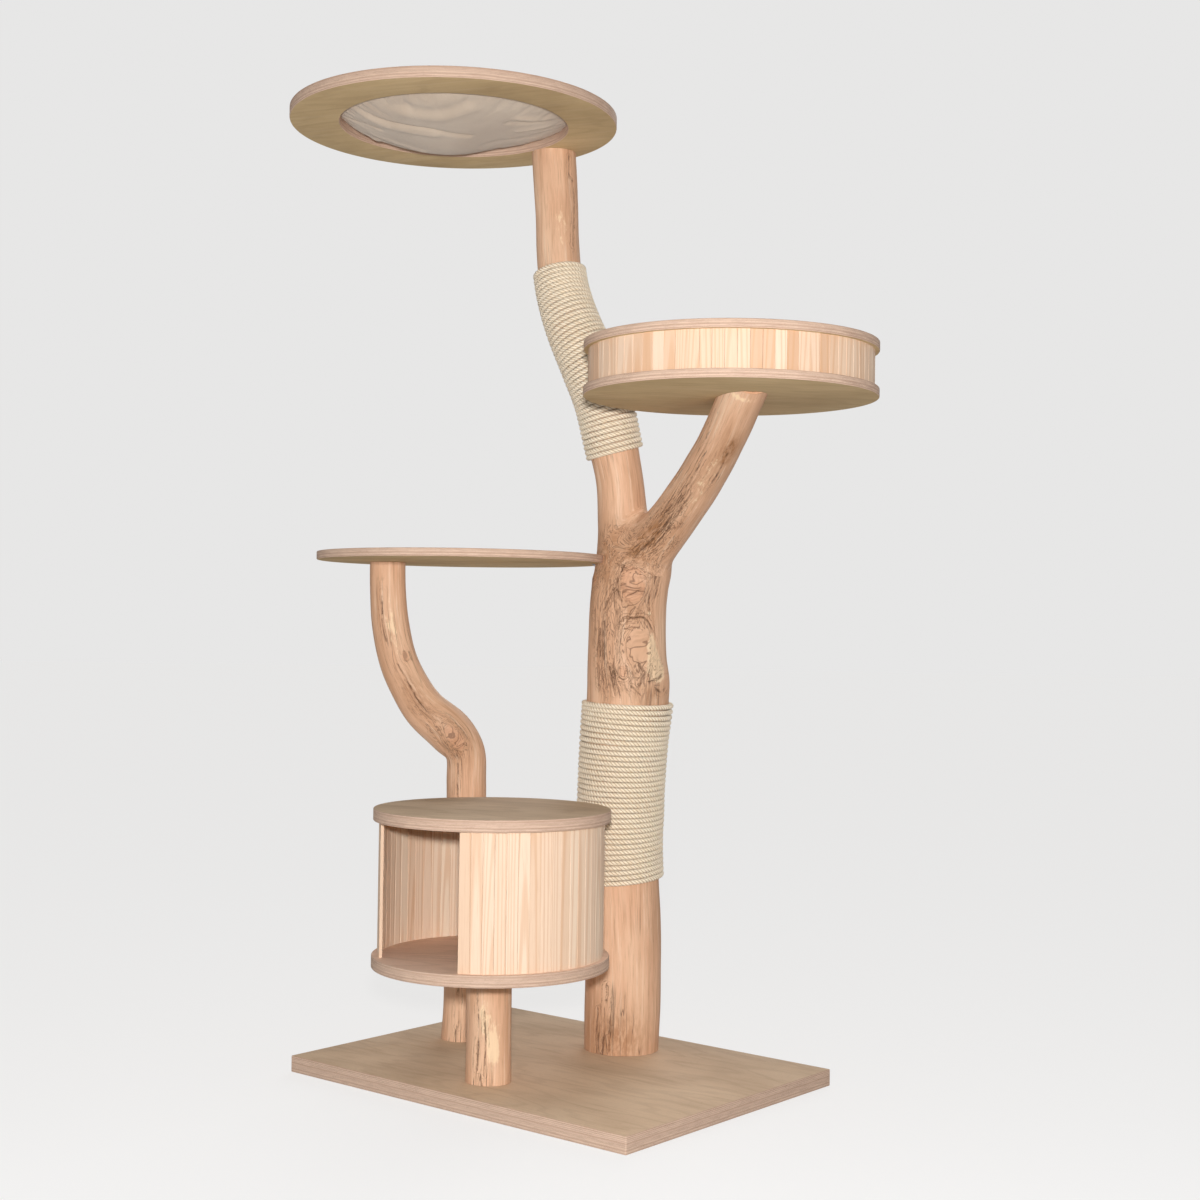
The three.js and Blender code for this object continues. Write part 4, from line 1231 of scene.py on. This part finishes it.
def camera():
    pitch = math.radians(CAMERA["pitch"])
    ahead = Vector((CAMERA["aim"][0] * math.cos(pitch), CAMERA["aim"][1] * math.cos(pitch),
                    math.sin(pitch)))
    made = bpy.data.objects.new("camera", bpy.data.cameras.new("camera"))
    bpy.context.scene.collection.objects.link(made)
    made.data.lens, made.data.sensor_width = CAMERA["lens"], CAMERA["sensor"]
    made.location = CAMERA["at"]
    made.rotation_mode = "QUATERNION"
    roll = Quaternion((0, 0, 1), math.radians(CAMERA["roll"]))
    made.rotation_quaternion = ahead.to_track_quat("-Z", "Y") @ roll
    bpy.context.scene.camera = made


def lamp(name, kind, power, at, toward):
    made = bpy.data.objects.new(name, bpy.data.lights.new(name, kind))
    bpy.context.scene.collection.objects.link(made)
    made.data.energy = power
    made.location = at
    made.rotation_mode = "QUATERNION"
    made.rotation_quaternion = (Vector(toward) - Vector(at)).to_track_quat("-Z", "Y")
    return made


def lights():
    """A soft key light just over the camera, a weaker one from behind, and even ambient light."""
    at = Vector(CAMERA["at"]) + Vector((0, 0, KEY["above_lens"]))
    key = lamp("key", "AREA", KEY["power"], at, KEY["aim"])
    key.data.shape, key.data.size = "DISK", KEY["size"]
    key.visible_camera = False
    a, e = BACK["azimuth"], BACK["elevation"]
    from_behind = (math.sin(a) * math.cos(e), -math.cos(a) * math.cos(e), math.sin(e))
    back = lamp("back_light", "SUN", BACK["power"], from_behind, (0, 0, 0))
    back.data.angle = BACK["softness"]
    world = bpy.data.worlds.new("studio")
    world.use_nodes = True
    nodes, links = world.node_tree.nodes, world.node_tree.links
    nodes["Background"].inputs["Color"].default_value = AMBIENT["tint"]
    split = nodes.new("ShaderNodeSeparateXYZ")
    blend = nodes.new("ShaderNodeMapRange")
    for key, value in (("From Min", -0.25), ("From Max", 0.25), ("To Min", AMBIENT["below"]),
                       ("To Max", AMBIENT["above"])):
        blend.inputs[key].default_value = value
    links.new(nodes.new("ShaderNodeTexCoord").outputs["Generated"], split.inputs[0])
    links.new(split.outputs["Z"], blend.inputs["Value"])
    links.new(blend.outputs[0], nodes["Background"].inputs["Strength"])
    bpy.context.scene.world = world


def glowing(name, shade):
    """A pale stage surface: part of its brightness is its own, the rest is reflected."""
    f = Finish(name, False)
    cloud = f.noise(f.node("ShaderNodeTexCoord", {}, "Object"), 2, 0.5, 0, 0.8)
    light = AMBIENT["above"] + BACK["power"] * math.sin(BACK["elevation"]) / math.pi
    tone = shade * PALE / light
    colour = f.ramp(cloud, (0.2, (tone, tone * 0.995, tone * 0.99, 1)),
                    (0.8, (tone * 1.01, tone * 1.005, tone, 1)))
    own = PALE * (1 - shade)
    return f.done(colour, 0.9, f.bump(cloud, 0.1 * MM, 0.1), Specular_IOR_Level=0.0,
                  Emission_Color=(1.0, 0.995, 0.99, 1.0), Emission_Strength=own)


def stage():
    """A floor and a round backdrop of one brightness; neither throws light on the object."""
    corners = [(x * STAGE, y * STAGE, 0) for x, y in ((-1, -1), (1, -1), (1, 1), (-1, 1))]
    floor = build("studio_floor", corners, [(0, 1, 2, 3)], [glowing("studio_floor", FLOOR_SHADE)])
    wall = turned([(0.98 * STAGE, -1.0), (0.98 * STAGE, STAGE)], 48)
    faces = tube_faces(2, 48)
    del faces[-2]                       # the floor closes it below
    backdrop = build("studio_backdrop", wall, faces, [glowing("studio_backdrop", 0.0)])
    for thing in (floor, backdrop):
        thing.visible_diffuse = thing.visible_glossy = False
    backdrop.visible_shadow = False
    bpy.context.scene.view_settings.view_transform = "Standard"


# ---- the whole object ------------------------------------------------------------------------

camera()

stem = Log(1, TRUNK, TRUNK_KNOTS, TRUNK_CRACKS, TRUNK_STAINS, TRUNK_PALES, TRUNK_WILDS)
limb = Log(1, TRAY_BRANCH, TRAY_KNOTS, TRAY_CRACKS, TRAY_STAINS, TRAY_PALES, TRAY_WILDS)
curved = Log(3, CURVED_BRANCH, CURVED_KNOTS, CURVED_CRACKS, CURVED_STAINS, CURVED_PALES,
             CURVED_WILDS)
post = Log(4, FRONT_POST, POST_KNOTS, POST_CRACKS, POST_STAINS, POST_PALES, POST_WILDS)

forked_trunk(stem, limb)
plain_log("curved_log", "curved_branch", curved)
plain_log("post_log", "front_post", post)
for end, span in ROPE_SPANS.items():
    rope_wrap(f"{end}_rope", f"{end}_sisal_wrap", stem, *span)

base_board()
round_board("cave_floor_board", "cave_floor", 0.5, screws_of("cave"), face=LIT_CAVE_FACE)
round_board("cave_roof_board", "cave_roof", 0.2)
round_board("tray_floor_board", "tray_floor", 0.9, screws_of("tray"))
round_board("tray_rim_board", "tray_rim", 1.1, hole=TRAY_HOLE)
round_board("platform_board", "mid_platform", 0.1, screws_of("platform"), scribe=(stem, limb))
hammock_ring(0.35)

stave_wall("cave_staves", "cave_wall", CAVE_STAVES, 11, 0.62)
stave_wall("tray_staves", "tray_wall", TRAY_STAVES, 12, 0.34)

hammock()

for group, length in SCREW_LENGTHS.items():
    for screw in screws_of(group):
        wood_screw(screw, length)
for node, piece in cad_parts.items():
    if not piece.hide_render:
        piece.data.materials.clear()
        piece.data.materials.append(STEEL)

lights()
stage()
